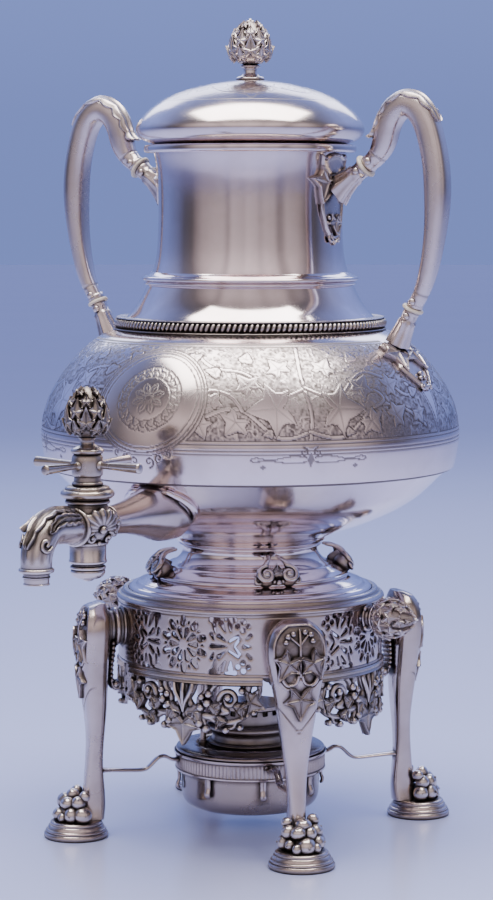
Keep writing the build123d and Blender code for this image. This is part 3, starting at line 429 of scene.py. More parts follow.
# ivy leaf: outline as seen from the stalk's end, tip at (0, 1)
IVY_HALF = [(0.0, -0.30), (0.10, -0.44), (0.34, -0.60), (0.66, -0.66), (0.58, -0.42), (0.62, -0.20), (1.02, 0.10), (0.66, 0.20), (0.42, 0.30), (0.32, 0.50),
            (0.16, 0.76), (0.0, 1.0)]
IVY_VEINS = [(0.0, 0.94), (0.92, 0.08), (-0.92, 0.08), (0.58, -0.56), (-0.58, -0.56)]
SPADE_HALF = [(0.0, -0.50), (0.26, -0.56), (0.56, -0.40), (0.66, -0.12), (0.50, 0.20), (0.30, 0.52), (0.12, 0.82), (0.0, 1.0)]
SPADE_VEINS = [(0.0, 0.92), (0.48, 0.22), (-0.48, 0.22), (0.50, -0.24), (-0.50, -0.24)]


def outline(half, n=120):
    h = np.asarray(half, float)
    loop = np.concatenate([h, (h[1:-1] * [-1, 1])[::-1]])
    loop = np.concatenate([loop, loop[:1]])
    seg = np.linalg.norm(np.diff(loop, axis=0), axis=1)
    t = np.concatenate([[0], np.cumsum(seg)])
    s = np.arange(n) * t[-1] / n
    return np.stack([np.interp(s, t, loop[:, 0]), np.interp(s, t, loop[:, 1])], -1)


def polar_radius(half, centre=(0.0, -0.08)):
    o = outline(half, 720) - centre
    a = np.arctan2(o[:, 0], o[:, 1])
    order = np.argsort(a)
    a, r = a[order], np.hypot(o[:, 0], o[:, 1])[order]
    a = np.concatenate([a - TAU, a, a + TAU])
    r = np.concatenate([r, r, r])
    return a, r


IVY_POLAR, SPADE_POLAR = polar_radius(IVY_HALF), polar_radius(SPADE_HALF)


def leaf_field(x, y, size, kind="ivy", centre=(0.0, -0.08)):
    """q (1 on the edge) and vein strength of a leaf at unit scale points x, y in mm, for relief and engraving."""
    a, r = IVY_POLAR if kind == "ivy" else SPADE_POLAR
    veins = IVY_VEINS if kind == "ivy" else SPADE_VEINS
    X, Y = np.asarray(x) / size - centre[0], np.asarray(y) / size - centre[1]
    ang, rad = np.arctan2(X, Y), np.hypot(X, Y)
    rho = np.interp(ang, a, r)
    q = rad / rho
    v = np.zeros_like(rad)
    for vx, vy in veins:
        L = math.hypot(vx, vy - centre[1])
        ux, uy = vx / L, (vy - centre[1]) / L
        along = X * ux + Y * uy
        perp = np.abs(X * uy - Y * ux)
        v = np.maximum(v, np.where((along > 0) & (along < L), np.exp(-((perp * size / 0.34) ** 2)) * (1 - 0.5 * along / L), 0))
    return q, v, rho * size


def leaf(acc, surf, s, t, size, turn=0.0, lift=0.0, high=1.0, kind="ivy", curl=0.0, cup=0.0, rings=9, n=96, base=-0.25, sx=1.0):
    """A cast leaf laid on a surface: raised rim and veins, sunk fields, turned by `turn` degrees (0 is tip up)."""
    half = IVY_HALF if kind == "ivy" else SPADE_HALF
    o = outline(half, n)
    c = np.array([0.0, -0.08])
    q = np.concatenate([np.linspace(0.02, 0.80, rings - 4), [0.88, 0.94, 0.985, 1.0]])
    pts = c + (o - c)[None] * q[:, None, None]
    x, y = pts[..., 0] * size * sx, pts[..., 1] * size
    _, v, _ = leaf_field(pts[..., 0] * size, pts[..., 1] * size, size, kind)
    qq = np.repeat(q[:, None], n, 1)
    rim = np.exp(-(((qq - 0.93) / 0.06) ** 2))
    h = high * (0.42 + 0.18 * (1 - qq ** 2) + 0.42 * rim + 0.48 * v)
    h = np.where(qq > 0.97, high * 0.62, h)
    h = h + lift + curl * np.clip(pts[..., 1] + 0.1, 0, 1) ** 2 * size * 0.5 + cup * (np.abs(pts[..., 0]) ** 2) * size * 0.4
    dark = np.clip(0.42 - 0.75 * rim - 0.8 * v, 0, 1) * np.clip((1 - qq) * 6, 0, 1)
    # wall ring down to the ground
    x = np.concatenate([x, x[-1:] * 1.0], 0)
    y = np.concatenate([y, y[-1:] * 1.0], 0)
    h = np.concatenate([h, np.full((1, n), base + lift * 0.0)], 0)
    dark = np.concatenate([dark, np.full((1, n), 0.85)], 0)
    R = rot2(-math.radians(turn))
    S = s + R[0, 0] * x + R[0, 1] * y
    T = t + R[1, 0] * x + R[1, 1] * y
    P = surf(S, T, h)
    rows = len(h)
    f = grid_faces(rows, n, wrap_cols=True)
    acc.add(P, [f, np.array([list(range(n))[::-1]])], dark)
    return acc


def surf_path(surf, pts, n=8, lift=0.0):
    p = spline(pts, n)
    return surf(p[:, 0], p[:, 1], (p[:, 2] if p.shape[1] > 2 else 0) + lift)


def spiral(cx, cy, r0, r1, a0, turns, n=28):
    k = np.linspace(0, 1, n)
    a = a0 + k * turns * TAU
    r = r0 + (r1 - r0) * k ** 0.8
    return np.stack([cx + r * np.cos(a), cy + r * np.sin(a)], -1)


def matrix_from(x, y, z, origin):
    """Local axes to world: columns x, y, z."""
    return np.stack([x, y, z], 1).astype(float), np.asarray(origin, float)


def radial_axes(az, r, z):
    """Local z points outward at azimuth az (degrees), local x sideways, local y up."""
    a = math.radians(az)
    er, et = np.array([math.sin(a), -math.cos(a), 0]), np.array([math.cos(a), math.sin(a), 0])
    return matrix_from(et, np.array([0, 0, 1.0]), er, er * r + np.array([0, 0, z]))


def value_noise(x, y, cell, seed=0):
    """Smooth value noise on a lattice of that cell size."""
    g = np.random.default_rng(seed).random((256, 256))
    X, Y = x / cell, y / cell
    i, j = np.floor(X).astype(int), np.floor(Y).astype(int)
    fx, fy = X - i, Y - j
    fx, fy = fx * fx * (3 - 2 * fx), fy * fy * (3 - 2 * fy)
    a, b = g[i % 256, j % 256], g[(i + 1) % 256, j % 256]
    c, d = g[i % 256, (j + 1) % 256], g[(i + 1) % 256, (j + 1) % 256]
    return (a * (1 - fx) + b * fx) * (1 - fy) + (c * (1 - fx) + d * fx) * fy


def path_distance(x, y, pts):
    """Distance from points to a polyline, and how far along it (0..1)."""
    p = np.asarray(pts, float)
    best = np.full(np.shape(x), 1e9)
    where = np.zeros(np.shape(x))
    n = len(p) - 1
    for i in range(n):
        ax, ay = p[i]
        dx, dy = p[i + 1] - p[i]
        L2 = dx * dx + dy * dy + 1e-12
        k = np.clip(((x - ax) * dx + (y - ay) * dy) / L2, 0, 1)
        d = np.hypot(x - ax - k * dx, y - ay - k * dy)
        better = d < best
        best = np.where(better, d, best)
        where = np.where(better, (i + k) / n, where)
    return best, where


# ------------------------------------------------------------------ profiles (radius, height), the same as the model's
NECK = [(70.5, 267.4), (68.2, 270.5), (66.0, 273.5), (62.0, 277.8), (58.3, 283.1), (55.2, 289.4), (53.0, 294.2), (51.0, 300.0), (49.7, 306.5), (49.0, 314.5),
        (48.6, 325.0), (48.5, 335.5), (48.7, 345.0), (49.3, 352.0), (50.3, 357.4), (51.0, 361.0), (51.2, 364.4)]
BULB_UP = [(108.2, 195.6), (109.3, 200.2), (110.2, 205.4), (110.9, 212.0), (110.4, 219.0), (109.0, 226.0), (105.6, 234.5), (99.4, 244.6), (91.0, 254.8),
           (83.2, 261.6), (77.6, 265.2), (72.6, 267.4)]
BULB_LOW = [(40.3, 157.6), (47.0, 160.4), (55.0, 163.2), (63.0, 166.0), (77.9, 172.6), (89.8, 180.2), (97.6, 187.4), (105.9, 195.6)]
SILVER, OXIDE = "silver", "oxidised_silver"

# neck
a = Acc()
lathe(a, chain(spline(NECK, 8), [(49.2, 364.4)], spline([(49.2, 364.4), (48.4, 357.4), (47.3, 351.0), (46.6, 340.0), (46.7, 315.0), (48.4, 303.0), (51.2, 294.0),
                                                      (56.4, 283.0), (63.6, 274.0), (67.6, 267.6)], 6)), 256)
a.build("neck", POLISHED, "urn", "neck_shell", SILVER)

# mouth wire
a = Acc()
lathe(a, chain([(50.6, 360.3)], spline([(50.6, 360.3), (54.4, 360.2), (55.8, 361.0), (56.0, 362.2), (55.8, 363.6), (55.0, 364.3)], 5), [(50.9, 364.4)]), 256)
a.build("mouth_wire", POLISHED, "urn", "rim_wire", SILVER)

# neck ring: a broad moulding with a small bead under it
a = Acc()
lathe(a, chain([(51.4, 297.8)], spline([(52.4, 297.8), (53.8, 296.6), (55.2, 295.9)], 4), spline([(55.2, 295.9), (56.8, 295.4), (57.4, 294.4), (56.8, 293.5), (55.4, 293.2)], 5),
               spline([(55.4, 293.2), (56.1, 292.6), (56.2, 291.8), (55.5, 291.2), (54.8, 291.1)], 4), [(52.6, 291.1)]), 256)
a.build("neck_moulding", POLISHED, "urn", "neck_ring", SILVER)

# shoulder band of slanting beads between two fillets
a = Acc()
lathe(a, chain([(66.4, 267.5)], spline([(71.6, 267.5), (72.0, 267.9), (71.7, 268.4), (70.9, 268.6)], 4), [(69.8, 269.4), (69.4, 272.6)],
               spline([(70.1, 273.4), (70.9, 273.7), (70.9, 274.2), (70.2, 274.4)], 4), [(65.4, 274.4), (66.0, 272.5)]), 256, dark=0.0)
BEADS = 158
for k in range(BEADS):
    az = k * TAU / BEADS
    er, et, ez = np.array([math.sin(az), -math.cos(az), 0]), np.array([math.cos(az), math.sin(az), 0]), np.array([0, 0, 1.0])
    tilt = math.radians(24)
    up = ez * math.cos(tilt) + et * math.sin(tilt)
    side = et * math.cos(tilt) - ez * math.sin(tilt)
    ball(a, er * 70.6 + ez * 271.1, 1.0, n=10, m=8, stretch=(1.34, 1.75, 2.35), matrix=np.stack([side, er, up], 1))
a.build("shoulder_beads", CAST, "urn", "beaded_band", SILVER)


# ---- the bulb's engraved upper half
def bulb_surface():
    prof = spline(BULB_UP, 24)
    seg = np.concatenate([[0], np.cumsum(np.linalg.norm(np.diff(prof, axis=0), axis=1))])
    T = seg[-1]
    dense = np.arange(np.interp(202.0, prof[:, 1], seg), np.interp(263.0, prof[:, 1], seg), 0.60)
    t = np.concatenate([np.linspace(0, dense[0], 9)[:-1], dense, np.linspace(dense[-1], T, 9)[1:]])
    n = 1500
    az = np.arange(n) * TAU / n
    r, z = np.interp(t, seg, prof[:, 0]), np.interp(t, seg, prof[:, 1])
    d = np.gradient(np.stack([r, z], -1), axis=0)
    d /= np.linalg.norm(d, axis=1)[:, None]
    nr, nz = d[:, 1], -d[:, 0]
    A, Tt = np.meshgrid(az, t)
    Rr = np.repeat(r[:, None], n, 1)
    Zz = np.repeat(z[:, None], n, 1)
    disp, dark = engraving(np.degrees(A), Tt, Rr, Zz, lambda zz: np.interp(zz, prof[:, 1], seg))
    rr = Rr + disp * nr[:, None]
    zz = Zz + disp * nz[:, None]
    v = np.stack([rr * np.sin(A), -rr * np.cos(A), zz], -1)
    return v, dark, len(t), n


def engraving(azd, t, r, z, t_of):
    disp = np.zeros_like(t)
    dark = np.zeros_like(t)
    azd = (azd + 180) % 360 - 180
    lo, hi = t_of(217.6), t_of(262.4)
    mid = t_of(237.6)
    # local sideways distance from the nearest frieze centre; positive towards the handle
    quad = np.where(np.abs(azd) < 90, 45.0, 135.0)
    off = (np.abs(azd) - quad) * np.where(quad == 45.0, 1.0, -1.0)
    u = np.radians(off) * r
    to_front = np.minimum(np.abs(azd), 180 - np.abs(azd))
    med_u = np.radians(to_front) * 103.0
    med = np.hypot(med_u, (t - mid) * 1.02)
    medr = 28.4
    # frieze limits: bottom line, top line, medallion, slanting border at the shield
    slant = (np.abs(off) * 0 + off) - (38.6 + (262.4 - z) * 0.128)
    slant_mm = -np.radians(slant) * r
    inside = np.minimum(np.minimum(t - lo, hi - t), np.minimum(med - (medr + 3.0), slant_mm))
    field = inside > 0
    n1 = value_noise(u + 500 + quad * 3, t + 200, 0.95, 1)
    n2 = value_noise(u + 500, t + 200, 0.70, 2)
    tendril = np.abs(value_noise(u + 700 + quad, t + 300, 3.4, 8) - 0.5) * 2
    ground = np.clip(0.42 + 0.95 * (n1 - 0.40), 0.14, 0.95)
    ground = np.where(tendril < 0.085, 0.05, ground)
    g_disp = -0.07 + 0.06 * (n2 - 0.5) + np.where(tendril < 0.085, 0.06, 0.0)
    dark = np.where(field, ground, dark)
    disp = np.where(field, g_disp, disp)
    # leaves: offset in degrees from the stem, height, size, turn, kind
    leaves = [(-9.4, 233.4, 14.6, -96, "ivy"), (9.4, 232.8, 14.4, 92, "ivy"), (-19.8, 226.4, 8.8, -140, "ivy"), (-29.0, 224.8, 7.4, 160, "ivy"),
              (18.4, 225.8, 8.6, 138, "ivy"), (27.4, 228.8, 8.4, 60, "ivy"), (17.6, 243.0, 8.4, 30, "ivy"), (28.4, 243.0, 7.8, 70, "ivy"),
              (-16.6, 244.6, 8.0, -34, "ivy"), (7.2, 252.4, 7.6, 28, "ivy"), (-7.4, 252.4, 7.4, -32, "ivy"), (36.4, 228.0, 6.6, 150, "ivy"),
              (-17.2, 256.8, 5.6, 20, "spade"), (18.4, 256.4, 6.0, -14, "spade"), (28.8, 254.6, 5.6, 30, "spade"), (36.6, 250.6, 5.0, -40, "spade"),
              (-26.6, 250.4, 5.6, -70, "spade"), (-26.0, 237.4, 6.0, 40, "ivy"), (37.2, 239.0, 5.2, 80, "spade"), (11.0, 221.4, 3.8, 100, "spade"),
              (-10.8, 221.2, 3.8, -100, "spade"), (-34.0, 257.6, 4.8, 70, "spade")]
    # stems first, then leaves over them
    tz = lambda zz: float(t_of(zz))
    def P(o, zz):
        rr = float(np.interp(zz, [q[1] for q in BULB_UP], [q[0] for q in BULB_UP]))
        return (math.radians(o) * rr, tz(zz))
    stems = [[(0, 217.6), (0.6, 232.0), (-0.6, 246.0), (0, 262.0)],
             [(0, 222.0), (-9.0, 219.6), (-18.0, 232.4), (-27.0, 229.8), (-34.0, 222.6)],
             [(0, 222.0), (10.0, 219.6), (20.0, 232.8), (31.0, 231.0), (38.6, 222.0)],
             [(0, 243.0), (-9.6, 239.0), (-17.0, 249.6), (-27.0, 252.6), (-34.0, 259.4)],
             [(0, 243.0), (9.6, 239.0), (19.6, 249.4), (29.0, 246.4), (37.0, 252.4)],
             [(20.0, 232.8), (24.0, 236.6), (21.0, 241.0), (17.0, 236.0)],
             [(-18.0, 232.4), (-22.6, 240.6), (-28.2, 241.0), (-27.0, 236.4)],
             [(29.0, 246.4), (33.0, 238.0), (38.0, 238.6), (35.6, 243.2)]]
    for st in stems:
        pts = spline([P(*q) for q in st], 8)
        x0, x1 = pts[:, 0].min() - 2, pts[:, 0].max() + 2
        y0, y1 = pts[:, 1].min() - 2, pts[:, 1].max() + 2
        sel = field & (u > x0) & (u < x1) & (t > y0) & (t < y1)
        dd, _ = path_distance(u[sel], t[sel], pts)
        a_, b_ = dark[sel], disp[sel]
        a_ = np.where(dd < 0.80, 0.03, np.where(dd < 1.35, 0.95, a_))
        b_ = np.where(dd < 0.80, 0.02, np.where(dd < 1.35, -0.12, b_))
        dark[sel], disp[sel] = a_, b_
    for o, zz, size, turn, kind in leaves:
        cu, ct = P(o, zz)
        sel = field & (np.abs(u - cu) < size * 1.35) & (np.abs(t - ct) < size * 1.35)
        if not sel.any():
            continue
        R = rot2(math.radians(turn))
        du, dt = u[sel] - cu, t[sel] - ct
        x, y = R[0, 0] * du + R[0, 1] * dt, R[1, 0] * du + R[1, 1] * dt
        q, v, rho = leaf_field(x, y, size, kind)
        edge = (q - 1) * rho
        hatch = 0.5 + 0.5 * np.sin((x * 0.8 + y * 1.0) * 4.4)
        inner = 0.02 + 0.20 * hatch * np.clip((q - 0.55) * 1.8, 0, 1)
        a_, b_ = dark[sel], disp[sel]
        a_ = np.where(edge < -0.30, np.maximum(inner, 0.62 * v), a_)
        b_ = np.where(edge < -0.30, 0.03 - 0.06 * v, b_)
        ring = (edge > -0.30) & (edge < 0.42)
        a_ = np.where(ring, 1.0, a_)
        b_ = np.where(ring, -0.13, b_)
        dark[sel], disp[sel] = a_, b_
    # field border: a bright fillet with two dark lines
    lines = np.minimum(np.abs(inside), np.abs(inside + 1.7))
    on = (lines < 0.36) & (inside > -2.2) & (inside < 0.6)
    dark = np.where(on, 0.9, dark)
    disp = np.where(on, -0.10, disp)
    # medallion: double line round a bare field with a small plain rosette
    for rad, w in ((medr, 0.38), (medr + 1.6, 0.32), (medr - 2.2, 0.28)):
        on = (np.abs(med - rad) < w) & (z > 204) & (z < 263)
        dark = np.where(on, 0.8, dark)
        disp = np.where(on, -0.10, disp)
    # a wreath of small leaves with a flower inside it
    sel = med < 21.5
    ms, ts = med_u[sel] * np.sign(np.where(np.abs(azd[sel]) < 90, azd[sel], -azd[sel])), t[sel] - mid
    a_, b_ = dark[sel], disp[sel]
    for i in range(20):
        th = TAU * i / 20
        for rr_, lean, size in ((15.6, 58, 3.5), (13.6, 130, 2.9)):
            cu, ct = rr_ * math.sin(th), rr_ * math.cos(th)
            tip = math.degrees(th) + (lean if math.sin(th) < 0 else -lean) * 1.0 * (1 if rr_ > 14.5 else 1)
            R = rot2(math.radians(tip))
            du, dt = ms - cu, ts - ct
            q, v, rho = leaf_field(R[0, 0] * du + R[0, 1] * dt, R[1, 0] * du + R[1, 1] * dt, size, "spade")
            edge = (q - 1) * rho
            a_ = np.where(edge < -0.25, 0.04 + 0.35 * v, np.where(edge < 0.34, 0.72, a_))
            b_ = np.where(edge < -0.25, 0.02, np.where(edge < 0.34, -0.10, b_))
    dark[sel], disp[sel] = a_, b_
    ang = np.arctan2(t - mid, med_u)
    for petals, r0, r1, w in ((8, 2.4, 9.0, 0.62),):
        half = TAU / petals / 2
        aa = ang % (2 * half) - half
        along = med * np.cos(aa)
        perp = np.abs(med * np.sin(aa))
        k = np.clip((along - r0) / (r1 - r0), 0, 1)
        wide = w * 3.2 * np.sin(np.pi * k) ** 0.8
        edge = perp - wide
        on = (along > r0) & (along < r1) & (np.abs(edge) < 0.34) & (med < 10)
        vein = (along > r0) & (along < r1 - 1.5) & (perp < 0.24) & (med < 10)
        dark = np.where(on | vein, 0.7, dark)
        disp = np.where(on | vein, -0.09, disp)
    on = (np.abs(med - 1.8) < 0.34)
    dark = np.where(on, 0.75, dark)
    # ribbon lines below the frieze, stopping short of the medallion's foot
    for zz, w in ((212.9, 0.36), (211.2, 0.30), (203.6, 0.0)):
        tt = tz(zz)
        on = (np.abs(t - tt) < w) & (to_front > 9.0)
        dark = np.where(on, 0.8, dark)
        disp = np.where(on, -0.09, disp)
    # small drop ornament under each stem
    dx, dy = np.abs(u), t - tz(209.0)
    shape = dx / (1.7 - 0.14 * np.abs(dy)).clip(0.2) + 0
    on = (dx < 1.9 * np.clip(1 - np.abs(dy + 0.6) / 4.2, 0, 1)) & (np.abs(dy + 0.6) < 4.2)
    dark = np.where(on, 0.70, dark)
    disp = np.where(on, -0.2, disp)
    for sgn in (-1, 1):
        sp = spiral(sgn * 3.6, tz(212.4) - 0.4, 2.4, 0.5, math.pi / 2 if sgn > 0 else math.pi / 2, 1.1 * sgn, 20)
        sel = (np.abs(u - sgn * 3.6) < 5) & (np.abs(t - tz(212.0)) < 5)
        dd, _ = path_distance(u[sel], t[sel], sp)
        dark[sel] = np.where(dd < 0.42, 0.85, dark[sel])
        disp[sel] = np.where(dd < 0.42, -0.1, disp[sel])
    # chased ribbon running out on both sides of each drop
    for sgn in (-1, 1):
        for pts in ([(2.2, 209.4), (9.0, 210.2), (18.0, 208.6), (29.0, 207.4)], [(2.0, 207.2), (11.0, 206.7), (20.0, 208.0), (27.5, 209.6)], [(29.0, 207.4), (30.4, 208.4), (27.5, 209.6)]):
            sp = spline([(sgn * px, tz(pz)) for px, pz in pts], 6)
            sel = (np.abs(u) < 33) & (np.abs(t - tz(208.4)) < 5)
            dd, _ = path_distance(u[sel], t[sel], sp)
            dark[sel] = np.where(dd < 0.36, 0.75, dark[sel])
            disp[sel] = np.where(dd < 0.36, -0.08, disp[sel])
        dm = np.abs(u - sgn * 24.0) * 0.7 + np.abs(t - tz(204.6))
        dark = np.where(dm < 1.25, 0.7, dark)
    # scroll group at the medallion's foot
    for sgn in (-1, 1):
        for cx, cz, r0, tn in ((4.2, 206.4, 3.2, 1.2), (9.6, 208.4, 2.4, -1.1), (14.4, 210.6, 1.7, 1.0)):
            sp = spiral(sgn * cx, tz(cz), r0, 0.4, -math.pi / 2, tn * sgn, 22)
            mu = np.radians(np.where(np.abs(azd) < 90, azd, np.sign(azd) * (180 - np.abs(azd)))) * 108.0
            sel = (np.abs(mu - sgn * cx) < r0 + 1.5) & (np.abs(t - tz(cz)) < r0 + 1.5)
            dd, _ = path_distance(mu[sel], t[sel], sp)
            dark[sel] = np.where(dd < 0.42, 0.85, dark[sel])
            disp[sel] = np.where(dd < 0.42, -0.1, disp[sel])
    return disp, dark


v, dk, rows, n = bulb_surface()
inner = chain([(72.6, 267.4), (69.8, 267.4)], spline([(69.8, 267.4), (76.0, 263.8), (82.0, 260.0), (89.6, 253.4), (97.8, 243.4), (103.8, 233.6), (107.0, 225.4), (108.4, 218.8),
              (108.9, 212.0), (108.2, 205.6), (106.6, 198.6)], 3), [(104.3, 197.4), (104.3, 195.6), (106.4, 195.4), (108.2, 195.6)])
a = Acc()
a.add(v, [grid_faces(rows, n, wrap_cols=True, flip=True)], dk)
lathe(a, inner, n, closed=False)
a.build("bulb_upper", ENGRAVED, "urn", "body_upper", SILVER, weld=False)

# lower half of the bulb, with the closed bottom
a = Acc()
lathe(a, chain(spline(BULB_LOW, 8), [(105.9, 195.6), (103.6, 195.5)], spline([(103.6, 195.5), (96.1, 188.8), (88.7, 182.0), (77.0, 174.5), (62.2, 168.0), (54.2, 165.1),
              (44.0, 161.6), (30.0, 160.2)], 4), [(0.02, 160.2)]), 256, closed=False)
lathe(a, chain([(0.02, 157.6), (40.3, 157.6)]), 256, closed=False)
# the dark ring under the seam is a dark joint line and also painted shade, standing in for the shadow under the
# overhanging upper half
lathe(a, spline([(106.9, 195.75), (107.3, 195.2), (106.9, 194.7), (106.0, 194.4), (105.3, 194.9), (105.6, 195.7)], 3), 256, dark=0.85)
a.build("bulb_lower", POLISHED, "urn", "body_lower", SILVER, weld=True)

# pedestal and foot
PED = chain(spline([(40.9, 157.9), (40.2, 156.6), (38.6, 155.0), (37.4, 154.6)], 4), spline([(37.4, 154.6), (38.0, 153.8), (37.6, 152.9), (36.5, 152.5)], 4),
            spline([(36.5, 152.5), (36.1, 150.6), (37.0, 147.9), (39.5, 145.1), (42.6, 143.3)], 6), [(43.9, 143.1)],
            spline([(43.9, 143.1), (44.6, 142.4), (47.6, 140.8), (50.0, 138.7)], 6), [(51.4, 138.5)],
            spline([(51.4, 138.5), (52.2, 138.0), (52.3, 137.1), (51.9, 136.6)], 4), spline([(51.9, 136.6), (55.2, 135.6), (57.4, 134.6), (58.6, 134.0)], 5))
a = Acc()
lathe(a, chain(PED, [(58.6, 134.0), (52.0, 134.0), (49.0, 136.2), (46.0, 139.0), (42.0, 141.2), (37.6, 143.6), (35.0, 147.2), (34.1, 150.5), (34.4, 153.6), (36.0, 155.6),
                     (36.0, 157.5), (40.6, 157.6)]), 256)
a.build("pedestal_turned", POLISHED, "urn", "pedestal", SILVER)
a = Acc()
lathe(a, chain([(54.0, 134.0), (58.7, 134.0)], spline([(58.7, 134.0), (60.0, 133.6), (60.7, 132.8), (61.2, 132.2)], 4), spline([(61.2, 132.2), (62.6, 132.2), (64.2, 131.4), (64.9, 130.2)], 5),
               [(64.9, 128.02), (57.8, 128.02), (57.8, 112.0), (54.4, 112.0)]), 256)
a.build("foot_turned", POLISHED, "urn", "foot_flange", SILVER)
# ------------------------------------------------------------------ more kit
def cut_sheet(acc, field, u0, u1, v0, v1, cell, outer, inner, dark=None):
    """A pierced sheet: where field(u, v) > 0 there is metal. Both faces and the walls between, edges drawn onto the field's zero line."""
    nu, nv = int(round((u1 - u0) / cell)) + 1, int(round((v1 - v0) / cell)) + 1
    U, V = np.meshgrid(np.linspace(u0, u1, nu), np.linspace(v0, v1, nv), indexing="ij")
    du, dv = (u1 - u0) / (nu - 1), (v1 - v0) / (nv - 1)
    for _ in range(2):
        F = field(U, V)
        e = cell * 0.25
        gu = (field(U + e, V) - field(U - e, V)) / (2 * e)
        gv = (field(U, V + e) - field(U, V - e)) / (2 * e)
        g2 = gu * gu + gv * gv + 1e-9
        near = (np.abs(F) < 0.62 * cell * np.sqrt(g2)) & (g2 > 0.05)
        su, sv = -F * gu / g2, -F * gv / g2
        lim = 0.55 * cell
        k = np.minimum(1, lim / (np.hypot(su, sv) + 1e-9))
        edge_u = (np.arange(nu) == 0) | (np.arange(nu) == nu - 1)
        edge_v = (np.arange(nv) == 0) | (np.arange(nv) == nv - 1)
        U = np.where(near & ~edge_u[:, None], U + su * k, U)
        V = np.where(near & ~edge_v[None, :], V + sv * k, V)
    F = field(U, V)
    ok = (F > -0.12 * cell)
    i, j = np.meshgrid(np.arange(nu - 1), np.arange(nv - 1), indexing="ij")
    a, b, c, d = i * nv + j, (i + 1) * nv + j, (i + 1) * nv + j + 1, i * nv + j + 1
    okf = ok.reshape(-1)
    q = np.stack([a, b, c, d], -1).reshape(-1, 4)
    cnt = okf[q].sum(1)
    quads = q[cnt == 4]
    tri_src = q[cnt == 3]
    m = okf[tri_src]
    bad = np.argmin(m, 1)
    tris = np.array([[row[(b_ + 1) % 4], row[(b_ + 2) % 4], row[(b_ + 3) % 4]] for row, b_ in zip(tri_src, bad)]).reshape(-1, 3)
    if len(tris):
        P = np.stack([U.reshape(-1), V.reshape(-1)], -1)
        A, B, C = P[tris[:, 0]], P[tris[:, 1]], P[tris[:, 2]]
        area = (B[:, 0] - A[:, 0]) * (C[:, 1] - A[:, 1]) - (B[:, 1] - A[:, 1]) * (C[:, 0] - A[:, 0])
        tris = tris[area > 1e-3 * cell * cell]
    N = nu * nv
    edges = {}
    for fs in (quads, tris):
        k = fs.shape[1] if len(fs) else 0
        for x in range(k):
            p, r = fs[:, x], fs[:, (x + 1) % k]
            for s, t in zip(p.tolist(), r.tolist()):
                key = (s, t) if s < t else (t, s)
                if key in edges:
                    edges[key] = None
                else:
                    edges[key] = (s, t)
    border = np.array([e for e in edges.values() if e is not None])
    o = outer(U, V).reshape(-1, 3)
    w = inner(U, V).reshape(-1, 3)
    walls = np.stack([border[:, 1], border[:, 0], border[:, 0] + N, border[:, 1] + N], -1)
    dk = np.zeros(2 * N) if dark is None else np.concatenate([np.asarray(dark(U, V)).reshape(-1), np.zeros(N)])
    acc.add(np.concatenate([o, w]), [quads, tris, quads[:, ::-1] + N, tris[:, ::-1] + N, walls], dk)
    return acc


def smooth_min(*f):
    out = f[0]
    for g in f[1:]:
        out = np.minimum(out, g)
    return out


def surf_tube(acc, surf, pts, radius, n=8, sides=8, lift=0.3, squash=None, dark=0.0):
    """A raised stem or scroll lying on a surface."""
    p = spline(np.asarray(pts, float), n) if n else np.asarray(pts, float)
    r = radius if np.isscalar(radius) else np.interp(np.linspace(0, 1, len(p)), np.linspace(0, 1, len(radius)), radius)
    return tube(acc, surf(p[:, 0], p[:, 1], np.full(len(p), lift)), r, sides=sides, dark=dark, squash=squash)


def scroll(acc, surf, cx, cy, r0, a0, turns, thick=0.9, lift=0.5, taper=0.55, eye=True):
    """A volute on a surface, ending in a round eye."""
    p = spiral(cx, cy, r0, r0 * 0.16, a0, turns, 34)
    surf_tube(acc, surf, p, [thick, thick * 0.9, thick * taper], n=0, sides=8, lift=lift)
    if eye:
        ball(acc, surf(np.array(p[-1, 0]), np.array(p[-1, 1]), lift + thick * 0.25), thick * 1.15, n=12, m=8)


def berry(acc, surf, s, t, r, lift=None):
    ball(acc, surf(np.array(float(s)), np.array(float(t)), r * 0.45 if lift is None else lift), r, n=14, m=9)


def bud(acc, profile, rows, axis=None, size_k=1.0, core_drop=1.1):
    """An artichoke bud: a turned core clad with rows of lobed scales. rows: (height, count, size, shift, lift at the tip, narrowness)."""
    core = Acc()
    p = spline(profile, 6)
    p = np.stack([np.maximum(p[:, 0] - core_drop, 0.05), p[:, 1]], -1)
    lathe(core, chain([(0.02, p[0, 1])], p, [(0.02, p[-1, 1])]), 48, closed=False, dark=0.55)
    v = np.concatenate(core.v)
    if axis is not None:
        v = v @ axis[0].T + axis[1]
    acc.add(v, core.f, np.concatenate(core.d))
    s = Surf(profile, smooth=6, axis=axis)
    for z, count, size, shift, curl, sx in rows:
        for k in range(count):
            here = s.at(360.0 * (k + shift) / count, z)
            leaf(acc, here, 0, 0, size * size_k, turn=0, lift=-0.2 + 0.25 * (k % 2), high=1.05, kind="ivy", curl=curl, cup=-0.12, rings=9, n=72, base=-1.5, sx=sx)
    return acc


X_AXIS = {1: matrix_from(np.array([0, 1.0, 0]), np.array([0, 0, 1.0]), np.array([1.0, 0, 0]), (0, 0, 118.7)),
          -1: matrix_from(np.array([0, -1.0, 0]), np.array([0, 0, 1.0]), np.array([-1.0, 0, 0]), (0, 0, 118.7))}

# ------------------------------------------------------------------ lid
LID = [(6.4, 398.2), (16.4, 397.0), (28.0, 394.6), (38.7, 391.2), (47.2, 387.0), (54.3, 381.6), (58.6, 376.6), (60.2, 372.8), (59.2, 369.4), (56.4, 366.8), (53.0, 365.2),
       (51.0, 364.45)]


